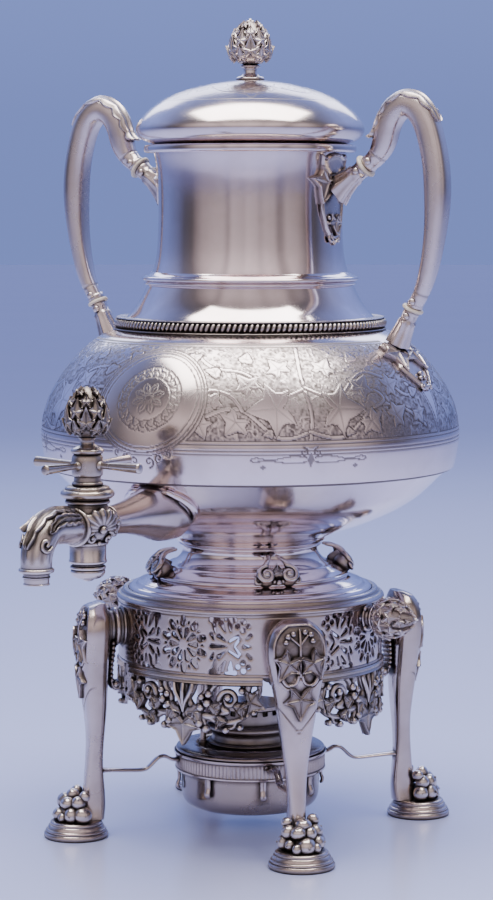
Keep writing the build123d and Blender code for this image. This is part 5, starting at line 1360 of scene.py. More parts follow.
# legs
LEG_OUTER = [(84.2, 124.8), (89.4, 122.4), (92.6, 116.0), (93.6, 107.0), (92.7, 83.4), (90.9, 66.0), (89.9, 54.0), (90.5, 39.2), (91.8, 24.0), (92.6, 9.0)]
LEG_INNER = [(81.0, 9.0), (80.2, 16.0), (80.6, 26.0), (81.4, 39.0), (80.6, 56.0), (79.6, 69.0), (79.0, 90.0), (78.8, 118.0), (80.0, 124.8)]
LEG_HALF = [(5.6, 9.0), (4.6, 16.0), (4.4, 25.5), (5.15, 42.5), (7.85, 63.2), (11.05, 83.7), (13.6, 96.0), (15.5, 108.0), (14.6, 115.6), (11.2, 121.0), (6.0, 124.8)]
lo_, li_, lh_ = spline(LEG_OUTER, 16)[::-1], spline(LEG_INNER, 16), spline(LEG_HALF, 16)
outer_R = lambda z: np.interp(z, lo_[:, 1], lo_[:, 0])
inner_R = lambda z: np.interp(z, li_[:, 1], li_[:, 0])
half_W = lambda z: np.interp(z, lh_[:, 1], lh_[:, 0])


half_loop = np.concatenate([lh_, [[0.0, 124.9]]])
edge_of = on_grid(lambda u, v: path_distance(u, v, half_loop)[0], 0.0, 17.0, 60.0, 126.0, 0.25)


def head_relief(s, z):
    """Raised border that follows the head's outline, with a lobed lip where it ends, and the field sunk inside it."""
    w = half_W(z)
    e = np.where(z > 62, edge_of(np.abs(s), np.clip(z, 60, 125.9)), w - np.abs(s))
    lip = 94.6 + 2.6 * np.cos(np.clip(np.abs(s) / 12.6, 0, 1) * math.pi * 2)
    inside = np.minimum(e - 3.0, (z - lip) * 0.8)
    sunk = -1.15 / (1 + np.exp(-inside / 0.25))
    rim = 0.8 * np.exp(-(((inside + 1.1) / 0.85) ** 2))
    v_line = 67.7 + np.abs(s) * 1.25
    cut = -0.45 * np.exp(-(((z - v_line) / 0.42) ** 2)) * (np.abs(s) < half_W(z) * 0.86)
    return sunk + rim + cut, inside


class LegFace:
    def __init__(self, az, z, s=0.0):
        self.M, self.z, self.s = plane_at(az), z, s

    def __call__(self, s, t, h):
        s = self.s + np.asarray(s, float)
        z = self.z + np.asarray(t, float)
        ro, ri, w = outer_R(z), inner_R(z), np.maximum(half_W(z), 0.5)
        q = np.clip(np.abs(s) / w, 0, 0.995) ** 3.2
        R = (ro + ri) / 2 + (ro - ri) / 2 * (1 - q) ** (1 / 3.2)
        dz = (outer_R(z + 0.5) - outer_R(z - 0.5))
        L = np.hypot(1, dz)
        v = np.stack([R + h / L, s + 0 * R, z - h * dz / L], -1)
        return v @ self.M[0].T


zs = np.concatenate([np.linspace(9.0, 62.0, 60), np.linspace(62.4, 122.6, 215), np.linspace(122.8, 124.7, 12)])
phi = np.arange(120) * TAU / 120
for az, word in LEG_AZ.items():
    PH, Z = np.meshgrid(phi, zs)
    p = 3.2
    c, s_ = np.cos(PH), np.sin(PH)
    ro, ri, w = outer_R(Z), inner_R(Z), half_W(Z)
    S = w * np.sign(c) * np.abs(c) ** (2 / p)
    R = (ro + ri) / 2 + (ro - ri) / 2 * np.sign(s_) * np.abs(s_) ** (2 / p)
    rel, inside = head_relief(S, Z)
    face = np.clip(s_ * 2.4, 0, 1)
    R = R + rel * face
    dark = np.clip(np.where(inside > 0.15, 0.50 + 0.25 * value_noise(S + 60, Z + 60, 0.9, 7), 0), 0, 1) * face
    v_line = 67.7 + np.abs(S) * 1.25
    dark = np.maximum(dark, 0.7 * np.exp(-(((Z - v_line) / 0.5) ** 2)) * face)
    a = Acc()
    M = plane_at(az)
    a.add(np.stack([R, S, Z], -1), [grid_faces(len(zs), 120, wrap_cols=True, flip=True), np.array([list(range(120)), list(range(120 * len(zs) - 1, 120 * len(zs) - 121, -1))])], dark, matrix=M)
    leaf(a, LegFace(az, 103.2, -6.7), 0, 0, 10.2, turn=-150, lift=0.2, high=2.1, base=-1.7, sx=0.76)
    leaf(a, LegFace(az, 103.2, 6.7), 0, 0, 10.2, turn=150, lift=0.2, high=2.1, base=-1.7, sx=0.76)
    leaf(a, LegFace(az, 84.6, 0), 0, 0, 10.8, turn=180, lift=0.3, high=2.1, base=-0.9, sx=0.82)
    f0 = LegFace(az, 0.0)
    for pts, r in (([(0.2, 120.4), (0.0, 110.0), (0.0, 97.0)], (0.7, 0.8)), ([(0.0, 112.4), (-2.4, 114.6), (-4.6, 116.4)], (0.6, 0.5)), ([(0.0, 113.0), (2.2, 115.4), (4.2, 117.6)], (0.6, 0.5)),
                   ([(-9.4, 96.4), (-6.6, 92.6), (-2.6, 93.4), (-1.0, 97.4)], (1.1, 0.8)), ([(9.4, 96.4), (6.6, 92.6), (2.6, 93.4), (1.0, 97.4)], (1.1, 0.8))):
        pth = spline(pts, 8)
        tube(a, f0(pth[:, 0], pth[:, 1], np.full(len(pth), 0.1)), np.interp(np.linspace(0, 1, len(pth)), [0, 1], r), sides=8)
    for s0, z0, r in ((-6.2, 117.2, 1.6), (-3.4, 118.4, 1.6), (-7.4, 114.4, 1.4), (2.8, 119.2, 1.6), (5.8, 118.0, 1.6), (6.6, 114.8, 1.5)):
        ball(a, f0(np.array(s0), np.array(z0), -0.1), r, n=14, m=9)
    a.build("leg_" + word + "_cast", STANDMAT, "stand", "leg_" + word, SILVER, angle=50)

# brackets behind the legs: ringed knuckle and a beaded scroll
a = Acc()
for az in LEG_AZ:
    M = plane_at(az)
    er = M[0][:, 0]
    K = matrix_from(M[0][:, 1], np.array([0, 0, 1.0]), er, er * 0 + np.array([0, 0, 111.4]))
    prof = chain([(0.02, 69.4), (10.2, 69.4)], spline([(10.2, 69.4), (10.8, 70.2), (10.2, 71.2)], 4), [(9.2, 71.5), (9.0, 72.6)], spline([(9.0, 72.6), (10.1, 73.4), (10.1, 74.8), (9.0, 75.6)], 4),
                 [(8.4, 76.0), (8.4, 77.4)], spline([(8.4, 77.4), (9.4, 78.2), (9.2, 79.6)], 4), [(0.02, 80.4)])
    turned(a, prof, K, 72, dark=0.0)
    path = [(76.6, 104.0, 5.6, 12.0), (77.0, 97.0, 5.0, 11.4), (77.6, 90.0, 4.2, 10.4), (77.2, 84.0, 3.6, 9.4), (75.8, 79.8, 3.4, 8.8), (73.8, 78.8, 3.2, 8.6), (72.9, 80.6, 2.8, 8.4), (73.8, 82.2, 2.4, 8.2)]
    bar = Bar(path, 1, n=8)
    tt = np.linspace(0, bar.len[-1], 90)
    ang = np.arange(40) * TAU / 40
    A_, T_ = np.meshgrid(ang, tt)
    ribs = 0.28 * np.cos(T_ * TAU / 2.6) * (T_ < 20)
    v = bar.section(A_, T_, ribs)
    a.add(v, [grid_faces(len(tt), 40, wrap_cols=True), np.array([list(range(40)), list(range(40 * 90 - 1, 40 * 89 - 1, -1))])], np.clip(-ribs * 2.2, 0, 0.7), matrix=M)
    for q in (-1, 1):
        for i, t0 in enumerate(np.arange(0.5, 22.5, 2.5)):
            p0 = bar.section(np.array(q * math.pi / 2), np.array(t0), 0.0)
            ball(a, p0 @ M[0].T, 1.25 - 0.012 * i, n=12, m=8)
        pc = np.array([74.7, q * 3.6, 81.0])
        ball(a, pc @ M[0].T, 1.9, n=12, m=8)
a.build("leg_scrolls", CAST, "stand", "leg_brackets", OXIDE, angle=45)

# feet and berries
for az, word in LEG_AZ.items():
    a = Acc()
    d = direction(math.radians(az)) * 95.8
    lathe(a, chain([(0.02, 0.0), (16.4, 0.0)], spline([(16.4, 0.0), (16.9, 0.7), (16.9, 2.4), (16.4, 3.1)], 4), [(15.9, 3.3)], spline([(15.9, 3.3), (16.1, 4.0), (15.6, 4.8)], 4), [(15.1, 5.0), (14.9, 5.8)],
                   spline([(14.9, 5.8), (14.3, 6.8), (13.7, 7.1)], 4), spline([(13.7, 7.1), (13.6, 8.2), (12.6, 8.9)], 4), [(0.02, 9.0)]), 128, closed=False, centre=tuple(d))
    a.build("foot_" + word + "_turned", STANDMAT, "stand", "foot_" + word, SILVER, weld=True)
a = Acc()
BERRIES = [(99.0, 0.0, 11.5, 6.4), (103.4, 0.0, 12.8, 4.1), (99.8, 6.9, 12.9, 4.0), (99.8, -6.9, 12.9, 4.0), (94.4, 8.8, 12.7, 3.9), (94.4, -8.8, 12.7, 3.9), (100.6, 3.5, 18.3, 3.7),
           (100.6, -3.5, 18.3, 3.7), (96.0, 6.9, 18.8, 3.6), (96.0, -6.9, 18.8, 3.6), (97.4, 0.0, 22.1, 3.5), (104.6, 4.6, 11.6, 2.6), (104.6, -4.6, 11.6, 2.6), (93.4, 7.0, 23.0, 2.6), (93.4, -7.0, 23.0, 2.6)]
for az in LEG_AZ:
    M = plane_at(az)
    for R, s0, z0, r in BERRIES:
        c = np.array([R, s0, z0]) + rng.normal(0, 0.35, 3)
        r = r * (1.06 + 0.10 * rng.standard_normal())
        out_dir = c - np.array([95.0, 0, 12.0])
        out_dir = out_dir / np.linalg.norm(out_dir)
        ball(a, c @ M[0].T, r, n=22, m=14, stretch=tuple(1 + 0.09 * rng.standard_normal(3)))
        ball(a, (c + out_dir * r * 0.96) @ M[0].T, r * 0.16, n=8, m=5, dark=0.5)
a.build("berries", CAST, "stand", "foot_berries", OXIDE, angle=60)

# pin bosses: moulded blocks
a = Acc()
for side in (1, -1):
    ax = X_AXIS[side]
    lathe_prof = chain([(2.32, 70.4), (7.0, 70.4)], spline([(7.0, 70.4), (7.4, 71.0), (6.8, 71.6)], 3), [(5.9, 71.8), (5.7, 72.8), (5.2, 73.2), (2.32, 73.2)])
    turned(a, lathe_prof, ax, 64, closed=True)
    loop = [(-5.6, -5.9), (5.6, -5.9), (5.6, 5.9), (-5.6, 5.9)]
    for q in range(4):
        ball(a, (np.array([loop[q][0] * 0.86, loop[q][1] * 0.86, 71.2])) @ ax[0].T + ax[1], 1.5, n=12, m=8)
a.build("boss_rings", STANDMAT, "stand", "pin_bosses", OXIDE)

# ------------------------------------------------------------------ lamp ring, arms and lamp
a = Acc()
RIBS = 120
lathe(a, chain([(37.6, 31.7), (39.8, 31.7), (40.4, 32.2), (40.4, 33.0), (39.9, 33.2)], [(39.9, z) for z in np.linspace(33.4, 40.0, 9)], [(39.9, 40.2), (40.5, 40.4), (41.0, 41.0), (40.9, 42.0), (37.6, 42.0)]), RIBS * 5,
      radius_fn=lambda r, z, az: (r + np.where((z > 33.3) & (z < 40.1), 0.28 * np.cos(az * RIBS), 0.0) + 0 * az, z + 0 * az))
for k in range(8):
    M = plane_at(39.35 + 45.0 * k)
    bar = Bar([(38.8, 32.4, 2.2, 3.6), (38.7, 29.0, 1.9, 3.2), (38.9, 26.2, 1.8, 3.0), (39.6, 24.2, 1.9, 3.2), (39.2, 22.4, 1.8, 3.2), (38.4, 22.1, 1.4, 2.6)], 1, n=5)
    tt = np.linspace(0, bar.len[-1], 26)
    ang = np.arange(16) * TAU / 16
    A_, T_ = np.meshgrid(ang, tt)
    a.add(bar.section(A_, T_, 0 * A_), [grid_faces(26, 16, wrap_cols=True), np.array([list(range(16)), list(range(16 * 26 - 1, 16 * 25 - 1, -1))])], 0.0, matrix=M)
a.build("lamp_ring_ribbed", STANDMAT, "stand", "lamp_ring", SILVER, angle=50)
a = Acc()
for az in LEG_AZ:
    M = plane_at(az)
    reach = 81.0
    bar = Bar([(39.6, 38.4, 2.2, 6.0), (43.3, 38.4, 2.1, 5.2), (47.1, 40.2, 2.0, 4.4), (51.0, 39.6, 2.0, 4.2), (54.6, 36.4, 2.0, 4.2), (58.2, 33.9, 2.0, 4.4), (64.0, 33.6, 2.0, 4.6), (72.0, 34.1, 2.1, 4.8), (80.0, 34.6, 2.3, 6.4),
               (81.6, 34.7, 2.6, 7.6)], 1, n=8)
    tt = np.linspace(0, bar.len[-1], 80)
    ang = np.arange(20) * TAU / 20
    A_, T_ = np.meshgrid(ang, tt)
    a.add(bar.section(A_, T_, 0 * A_), [grid_faces(80, 20, wrap_cols=True), np.array([list(range(20)), list(range(20 * 80 - 1, 20 * 79 - 1, -1))])], 0.0, matrix=M)
a.build("lamp_arms", STANDMAT, "stand", "lamp_ring_arms", SILVER, angle=50)

a = Acc()
lathe(a, chain([(0.02, 11.9), (28.0, 11.9)], spline([(28.0, 11.9), (30.6, 12.1), (34.4, 13.9), (36.5, 17.6), (37.0, 22.0)], 8), [(37.0, 30.0), (37.0, 42.0), (35.8, 42.0), (35.8, 22.0)],
               spline([(35.8, 22.0), (35.2, 18.0), (33.6, 15.0), (30.0, 13.2)], 4), [(0.02, 13.1)]), 200, closed=False)
a.build("lamp_bowl_spun", LAMPMAT, "lamp", "lamp_bowl", SILVER, weld=True)
a = Acc()
lathe(a, chain([(12.2, 43.0), (33.0, 43.0), (33.0, 42.0), (39.4, 42.0)], spline([(39.4, 42.0), (39.9, 42.6), (39.8, 43.7), (38.7, 44.6)], 5), spline([(38.7, 44.6), (36.0, 45.0), (30.0, 45.4)], 4), [(29.4, 45.9), (28.8, 45.5),
               (23.4, 45.6), (12.2, 45.6)]), 200)
a.build("lamp_top", LAMPMAT, "lamp", "lamp_shoulder", SILVER)
a = Acc()
lathe(a, chain([(17.0, 45.6), (22.6, 45.6)], spline([(22.6, 45.6), (23.2, 46.3), (22.6, 47.3), (20.9, 47.8)], 4), spline([(20.9, 47.8), (20.4, 50.2), (21.0, 52.2), (22.4, 52.9)], 5),
               spline([(22.4, 52.9), (23.1, 54.0), (23.1, 55.4), (22.4, 56.4)], 5), spline([(22.4, 56.4), (20.9, 56.6), (20.4, 57.2)], 3), [(17.0, 57.2)]), 160)
a.build("burner_collar", BURNT, "lamp", "lamp_collar", "dark_metal")
a = Acc()


def crown_field(u, v):
    w = TAU * 19.0 / 20
    s = (u + w / 2) % w - w / 2
    return np.maximum(np.abs(s) - 1.6, 5.1 - v)


on_cyl = lambda R: (lambda u, v: np.stack([R * np.sin(u / 19.0), -R * np.cos(u / 19.0), 57.2 + v], -1))
cut_sheet(a, crown_field, 0, TAU * 19.0, 0, 7.6, 0.38, on_cyl(19.0), on_cyl(17.4))
a.build("burner_teeth", BURNT, "lamp", "burner_crown", "dark_metal", angle=30)
a = Acc()
lathe(a, [(11.05, 30.0), (12.2, 30.0), (12.2, 60.6), (11.9, 61.0), (11.3, 61.0), (11.05, 60.6)], 96)
a.build("wick_holder", BURNT, "lamp", "wick_tube", "dark_metal")
a = Acc()
lathe(a, [(6.0, 16.0), (10.9, 16.0), (11.0, 61.0), (10.9, 62.6), (9.6, 63.1), (7.4, 63.1), (6.1, 62.6)], 240, radius_fn=lambda r, z, az: (r + 0.12 * np.cos(az * 40) * (z > 60) + 0 * az, z + 0.18 * np.cos(az * 40 + 1) * (z > 62)))
a.build("wick_braid", COTTON, "lamp", "wick", "cotton")

# ------------------------------------------------------------------ scrolls on the pedestal
a = Acc()
for az in LEG_AZ:
    M0 = plane_at(az)
    tilt = math.radians(30)
    er, et, ez = M0[0][:, 0], M0[0][:, 1], np.array([0, 0, 1.0])
    n_ = er * math.cos(tilt) + ez * math.sin(tilt)
    u_ = ez * math.cos(tilt) - er * math.sin(tilt)
    M = matrix_from(et, u_, n_, er * 50.4 + ez * 141.6)
    flat = lambda s, t, h, M=M: np.stack([np.asarray(s, float) + 0 * h, np.asarray(t, float) + 0 * h, h + 0 * np.asarray(s, float)], -1) @ M[0].T + M[1]
    for q in (-1, 1):
        p = spiral(q * 6.0, 0.2, 4.9, 1.2, math.pi * (0.5 if q > 0 else 0.5), -1.35 * q, 44)
        P = flat(p[:, 0], p[:, 1], np.full(len(p), 2.6) + np.linspace(0, 1.2, len(p)))
        tube(a, P, np.interp(np.linspace(0, 1, len(p)), [0, .5, 1], [1.5, 1.45, 0.9]), sides=10)
        ball(a, flat(q * 6.0, 0.2, np.array(3.4)), 1.9, n=16, m=10)
        ball(a, flat(q * 6.0, 0.0, np.array(-0.6)), 5.2, n=24, m=14, dark=0.35, stretch=(1, 1, 1))
        top = er * 41.6 + ez * 151.4 + et * q * 2.4
        base = flat(q * 6.0, 5.1, np.array(2.6))
        midp = (top + base) / 2 + er * 1.8 + ez * 0.6
        pth = spline([base, midp, top], 10)
        tube(a, pth, np.interp(np.linspace(0, 1, len(pth)), [0, 1], [1.7, 0.9]), sides=10)
        small = spiral(q * 10.2, -2.6, 2.3, 0.6, math.pi * 0.6, -1.1 * q, 22)
        tube(a, flat(small[:, 0], small[:, 1], np.full(len(small), 1.4)), 0.85, sides=8)
    F_ = lambda s, t, h, M=M: np.stack([np.asarray(s, float), np.asarray(t, float), np.asarray(h, float) + 0 * np.asarray(s, float)], -1) @ M[0].T + M[1]
    leaf(a, F_, 0, 1.2, 5.2, turn=0, lift=3.0, high=1.5, kind="spade", curl=-0.1, base=-5.0)
    ball(a, flat(0, -4.2, np.array(2.6)), 1.5, n=14, m=9)
    for q in (-1, 1):
        ball(a, flat(q * 2.2, -3.4, np.array(2.2)), 1.1, n=12, m=8)
a.build("pedestal_volutes", CAST, "urn", "pedestal_scrolls", OXIDE, angle=50)
# ------------------------------------------------------------------ the tap
V = (0.0, -160.0)
Y_OUT = matrix_from(np.array([1.0, 0, 0]), np.array([0, 0, 1.0]), np.array([0, -1.0, 0]), (0, 0, 180.0))
VALVE = matrix_from(np.array([1.0, 0, 0]), np.array([0, 1.0, 0]), np.array([0, 0, 1.0]), (0, -160.0, 0))

# spigot plate and tube
a = Acc()
low = Surf(BULB_LOW, smooth=8)
here = low.at(0.0, 181.4)
ELL = [(math.sin(x), math.cos(x)) for x in np.linspace(0, math.pi, 25)]
plate(a, here, ELL, 19.5, 16.4, 1.5)
for q in (-1, 1):
    edge = [(q * 18.6 * math.sin(x), -15.4 * math.cos(x)) for x in np.linspace(0.0, math.pi * 0.80, 14)]
    surf_tube(a, here, edge, [1.3, 1.7, 1.9, 1.5], n=6, sides=12, lift=1.3)
    surf_tube(a, here, [(x * 0.83, y * 0.83) for x, y in edge], [0.5, 0.6, 0.6, 0.4], n=6, sides=8, lift=1.7, dark=0.55)
    tip = edge[-1]
    sc = spiral(tip[0] - q * 3.4, tip[1] - 0.6, 3.6, 0.9, math.pi * (0.12 if q > 0 else 0.88), 1.15 * q, 30)
    surf_tube(a, here, sc, [1.5, 1.2, 0.9], n=0, sides=10, lift=1.5)
    ball(a, here(np.array(sc[-1, 0]), np.array(sc[-1, 1]), 1.9), 1.3, n=14, m=9)
ball(a, here(np.array(0.0), np.array(15.2), 1.6), 2.0, n=16, m=10)
a.build("spigot_rosette", POLISHED, "urn", "spigot_plate", OXIDE, angle=45)
a = Acc()
prof = chain([(3.5, 150.0), (6.9, 150.0)], spline([(7.0, 150.0), (7.1, 144.0), (7.2, 138.0), (8.2, 126.0), (10.4, 114.0), (13.0, 104.0), (14.8, 97.0), (15.4, 90.0)], 6), [(15.4, 86.0)])
turned(a, prof, Y_OUT, 120, fn=lambda r, z, az: (r * (1 + 0.006 * np.cos(az * 12) * np.clip((122 - z) / 14, 0, 1)), z + 0 * az))
for y0, r0, w in ((146.6, 7.0, 0.9), (143.4, 7.1, 0.6)):
    turned(a, spline([(r0 - 0.2, y0 - w), (r0 + 0.75, y0 - w * 0.4), (r0 + 0.75, y0 + w * 0.4), (r0 - 0.2, y0 + w)], 4), Y_OUT, 96)
a.build("spigot_pipe", STANDMAT, "urn", "spigot_tube", OXIDE)

# valve body with shells and scrolls
a = Acc()
lathe(a, chain([(4.2, 161.35), (8.2, 161.35), (9.1, 161.9), (9.3, 162.8), (8.9, 163.4), (8.9, 170.4)], spline([(8.9, 170.4), (9.9, 171.0), (10.0, 172.2), (9.4, 172.9)], 4),
               spline([(9.6, 173.0), (11.8, 176.4), (12.2, 181.0), (11.4, 186.0), (10.0, 189.0)], 6), [(9.6, 189.4), (9.6, 190.2)], spline([(9.6, 190.2), (10.8, 190.8), (10.8, 191.8), (9.9, 192.7)], 4), [(4.6, 192.8)]), 120,
      closed=False, centre=V)
turned(a, chain([(3.6, 148.0), (7.0, 148.0)], spline([(7.1, 148.0), (9.0, 147.0 + 1.6), (9.2, 149.6), (8.4, 150.6)], 4), [(8.4, 160.0)]), Y_OUT, 96)
turned(a, chain([(8.0, 160.0), (8.0, 170.4)], spline([(8.0, 170.4), (9.2, 171.0), (9.2, 172.4), (8.0, 173.0)], 4), [(3.6, 173.0)]), Y_OUT, 96)


class ValveSurf:
    """Round the valve: s sideways, t up, from an azimuth about the valve's own axis."""

    def __init__(self, az, z, R=11.9):
        self.az, self.z, self.R = math.radians(az), z, R

    def __call__(self, s, t, h):
        z = self.z + np.asarray(t, float)
        r = np.interp(z, [161, 171, 173, 176.4, 181, 186, 189, 193], [9, 9, 9.8, 11.8, 12.2, 11.4, 10.2, 10]) + h
        az = self.az + np.asarray(s, float) / self.R
        return np.stack([r * np.sin(az), -160 - r * np.cos(az), z + 0 * r], -1)


def shell(acc, surf, s0, t0, size, turn, ribs=9, high=2.2):
    """Scallop: a fan of ribs with a scalloped lip, from a knob."""
    m, n = 18, 110
    fan = math.radians(205)
    k = np.linspace(0.08, 1, m)[:, None]
    th = np.linspace(-fan / 2, fan / 2, n)[None, :]
    lobe = 0.5 + 0.5 * np.cos(th / fan * TAU * ribs)
    rho = size * k * (0.93 + 0.09 * lobe * k)
    h = high * (0.25 + 0.85 * np.sin(np.clip(k, 0, 1) * math.pi * 0.62)) * (1 - 0.42 * (np.abs(th) / (fan / 2)) ** 2) + 0.55 * (lobe - 0.5) * k
    h = np.where(k > 0.985, h - 0.2, h)
    R = rot2(-math.radians(turn))
    x, y = rho * np.sin(th), rho * np.cos(th)
    S, T = s0 + R[0, 0] * x + R[0, 1] * y, t0 + R[1, 0] * x + R[1, 1] * y
    top = surf(S, T, h)
    skirt = surf(S[-1], T[-1], np.full(n, -0.8))
    dark = np.clip(0.9 - 1.3 * lobe, 0, 1) * np.clip(k * 1.4, 0, 1) * np.ones_like(h)
    acc.add(np.concatenate([top, skirt[None]]), [grid_faces(m + 1, n)], np.concatenate([dark, np.full((1, n), 0.8)]))
    for q in (0, -1):
        edge = surf(np.stack([S[:, q], S[:, q]]), np.stack([T[:, q], T[:, q]]), np.stack([h[:, q], np.full(m, -0.8)]))
        acc.add(edge, [grid_faces(2, m)], 0.5)
    c = surf(np.array(s0), np.array(t0), high * 0.55)
    ball(acc, c, size * 0.2, n=14, m=9)


for az in (66, -66):
    h_ = ValveSurf(az, 181.0)
    shell(a, h_, 0, -2.2, 10.2, 0, ribs=9, high=3.0)
    for q in (-1, 1):
        sc = spiral(q * 9.6, 3.4, 2.6, 0.6, 0, 1.0 * q, 24)
        surf_tube(a, h_, sc, 0.8, n=0, lift=1.2)
    for q in (-1, 1):
        scroll(a, h_, q * 4.6, -6.4, 2.9, math.pi / 2, -1.0 * q, thick=1.0, lift=0.9)
    surf_tube(a, h_, [(-9.6, 4.0), (-8.4, -2.0), (-4.6, -3.5)], [0.6, 0.9], lift=0.7)
    surf_tube(a, h_, [(9.6, 4.0), (8.4, -2.0), (4.6, -3.5)], [0.6, 0.9], lift=0.7)
    ball(a, h_(np.array(0.0), np.array(-8.8), 0.4), 1.3, n=12, m=8)
# knots of scrollwork on the stub behind the valve
for q in (-1, 1):
    for cx, cz, r0, tn in ((151.6, 182.6, 3.2, 1.1), (150.8, 176.4, 2.4, -1.0), (147.4, 180.4, 2.0, 1.0)):
        sc = spiral(0, 0, r0, 0.5, 0.4, tn * q, 26)
        P = np.stack([q * (8.6 + 0.8 * np.cos(sc[:, 1] / 4)), -(cx + sc[:, 0]), cz + sc[:, 1]], -1)
        tube(a, P, 0.95, sides=8)
        ball(a, (q * 9.3, -cx, cz), 1.25, n=12, m=8)
a.build("valve_shell", CAST, "urn", "valve_body", OXIDE, angle=50)
a = Acc()
lathe(a, chain([(4.75, 192.8), (11.0, 192.8), (12.0, 193.4)], spline([(12.0, 193.4), (13.0, 194.6), (12.8, 196.2), (11.6, 197.2)], 5), [(11.0, 197.3)], spline([(11.0, 197.3), (10.6, 198.4), (9.4, 199.0)], 4), [(4.75, 199.0)]), 120, centre=V,
      radius_fn=lambda r, z, az: (r + 0.0 * az, z + 0 * az))
a.build("valve_ring_nut", CAST, "urn", "valve_bonnet", OXIDE)
a = Acc()
lathe(a, chain([(0.02, 161.3), (7.6, 161.3), (7.6, 160.5)], spline([(7.6, 160.5), (8.6, 160.0), (8.6, 159.0), (7.9, 158.6)], 4), spline([(7.9, 158.6), (8.4, 157.6), (7.6, 155.6), (5.4, 154.2), (3.0, 153.8)], 5), [(2.6, 153.3)],
               spline([(2.6, 153.3), (1.6, 152.8), (0.02, 152.6)], 4)), 96, closed=False, centre=V)
a.build("valve_bottom_cap", CAST, "urn", "valve_cap", OXIDE, weld=True)

# spout: bent pipe with a leaf over its top and a turned nozzle
corner = 14.0


def spout_path():
    p0, p1, p2 = np.array([0, -172.9, 180.17]), np.array([0, -204.5, 183.0]), np.array([0, -204.5, 164.6])
    d0, d1 = (p0 - p1) / np.linalg.norm(p0 - p1), (p2 - p1) / np.linalg.norm(p2 - p1)
    half = math.acos(float(np.dot(d0, d1))) / 2
    tan = corner / math.tan(half)
    c = p1 + (d0 + d1) / np.linalg.norm(d0 + d1) * corner / math.sin(half)
    a0, a1 = p1 + d0 * tan - c, p1 + d1 * tan - c
    om = math.acos(float(np.dot(a0, a1)) / corner ** 2)
    arc = [c + (math.sin((1 - k) * om) * a0 + math.sin(k * om) * a1) / math.sin(om) for k in np.linspace(0, 1, 26)]
    run0 = [p0 + (arc[0] - p0) * k for k in np.linspace(0, 1, 10)[:-1]]
    run1 = [arc[-1] + (p2 - arc[-1]) * k for k in np.linspace(0, 1, 6)[1:]]
    return np.array(run0 + arc + run1)


sp = spout_path()
sl = np.concatenate([[0], np.cumsum(np.linalg.norm(np.diff(sp, axis=0), axis=1))])
st = np.gradient(sp, axis=0)
st /= np.linalg.norm(st, axis=1)[:, None]


class SpoutSurf:
    """s round the pipe from its outer (upper) side, t along, h out."""

    def __call__(self, s, t, h):
        t = np.asarray(t, float)
        g = lambda c: np.interp(t, sl, c)
        P = np.stack([g(sp[:, 0]), g(sp[:, 1]), g(sp[:, 2])], -1)
        ty, tz = g(st[:, 1]), g(st[:, 2])
        N = np.stack([0 * t, tz, -ty], -1)
        r = np.interp(t, [0, 8, 30, sl[-1]], [7.7, 7.9, 7.9, 7.3])
        ang = np.asarray(s, float) / 7.9
        rr = (r + h)[..., None]
        return P + rr * (np.cos(ang)[..., None] * N + np.sin(ang)[..., None] * np.array([1.0, 0, 0]))


a = Acc()
surf = SpoutSurf()
tt = np.linspace(0, sl[-1], 110)
ss = np.arange(72) * TAU / 72 * 7.9
S_, T_ = np.meshgrid(ss, tt)
flute = 0.16 * np.cos(S_ / 7.9 * 10) * np.clip((T_ - 24) / 8, 0, 1) * np.clip((sl[-1] - 2 - T_) / 2, 0, 1)
a.add(surf(S_, T_, flute), [grid_faces(110, 72, wrap_cols=True)], np.clip(-flute * 3.5, 0, 0.6))
inner_ring = surf(ss, np.full(72, sl[-1]), np.full(72, -3.8))
inner_up = surf(ss, np.full(72, sl[-1] - 8), np.full(72, -4.2))
last = surf(ss, np.full(72, sl[-1]), np.full(72, 0.0))
a.add(np.stack([last, inner_ring, inner_up]), [grid_faces(3, 72, wrap_cols=True)], 0.3)
# acanthus on the bend: three lobed leaves side by side with rolled tips
for s0, t0, t1, wd, lobes in ((0.0, 2.0, sl[-1] - 7.0, 5.4, 6), (8.0, 4.0, sl[-1] - 14.0, 3.6, 5), (-8.0, 4.0, sl[-1] - 14.0, 3.6, 5)):
    m, cols = 110, 21
    k = np.linspace(0, 1, m)
    half = wd * np.sin(np.pi * np.clip(0.12 + 0.86 * k, 0, 1)) ** 0.6 * (0.72 + 0.28 * np.abs(np.sin(k * math.pi * lobes)))
    c = np.linspace(-1, 1, cols)
    S1 = s0 + half[:, None] * c[None, :]
    T1 = np.repeat((t0 + (t1 - t0) * k)[:, None], cols, 1)
    rib = np.exp(-((c / 0.10) ** 2))[None, :]
    flu = 0.5 + 0.5 * np.cos(c * math.pi * 3)[None, :]
    edge = np.clip((1 - np.abs(c)) / 0.08, 0, 1)[None, :] * np.clip(k / 0.04, 0, 1)[:, None] * np.clip((1 - k) / 0.03, 0, 1)[:, None]
    H = (0.8 + 0.95 * flu + 0.75 * rib + 0.45 * np.exp(-((np.abs(c) - 0.85) / 0.1) ** 2)[None, :]) * edge + 1.7 * np.clip((k - 0.86) / 0.14, 0, 1)[:, None] ** 1.4
    low_ = np.where((k > 0.86)[:, None], H - 0.9, -0.4)
    P, Q = surf(S1, T1, H), surf(S1, T1, np.minimum(H - 0.1, low_))
    f = grid_faces(m, cols)
    nloc = m * cols
    loop = np.concatenate([np.arange(cols), np.arange(1, m) * cols + cols - 1, (m - 1) * cols + np.arange(cols - 2, -1, -1), np.arange(m - 2, 0, -1) * cols])
    w = np.stack([loop, np.roll(loop, -1), np.roll(loop, -1) + nloc, loop + nloc], -1)
    a.add(np.concatenate([P.reshape(-1, 3), Q.reshape(-1, 3)]), [f[:, ::-1], f + nloc, w], np.concatenate([(np.clip(0.7 - flu * 0.9 - rib, 0, 1) * np.ones_like(H)).reshape(-1), np.full(nloc, 0.6)]))
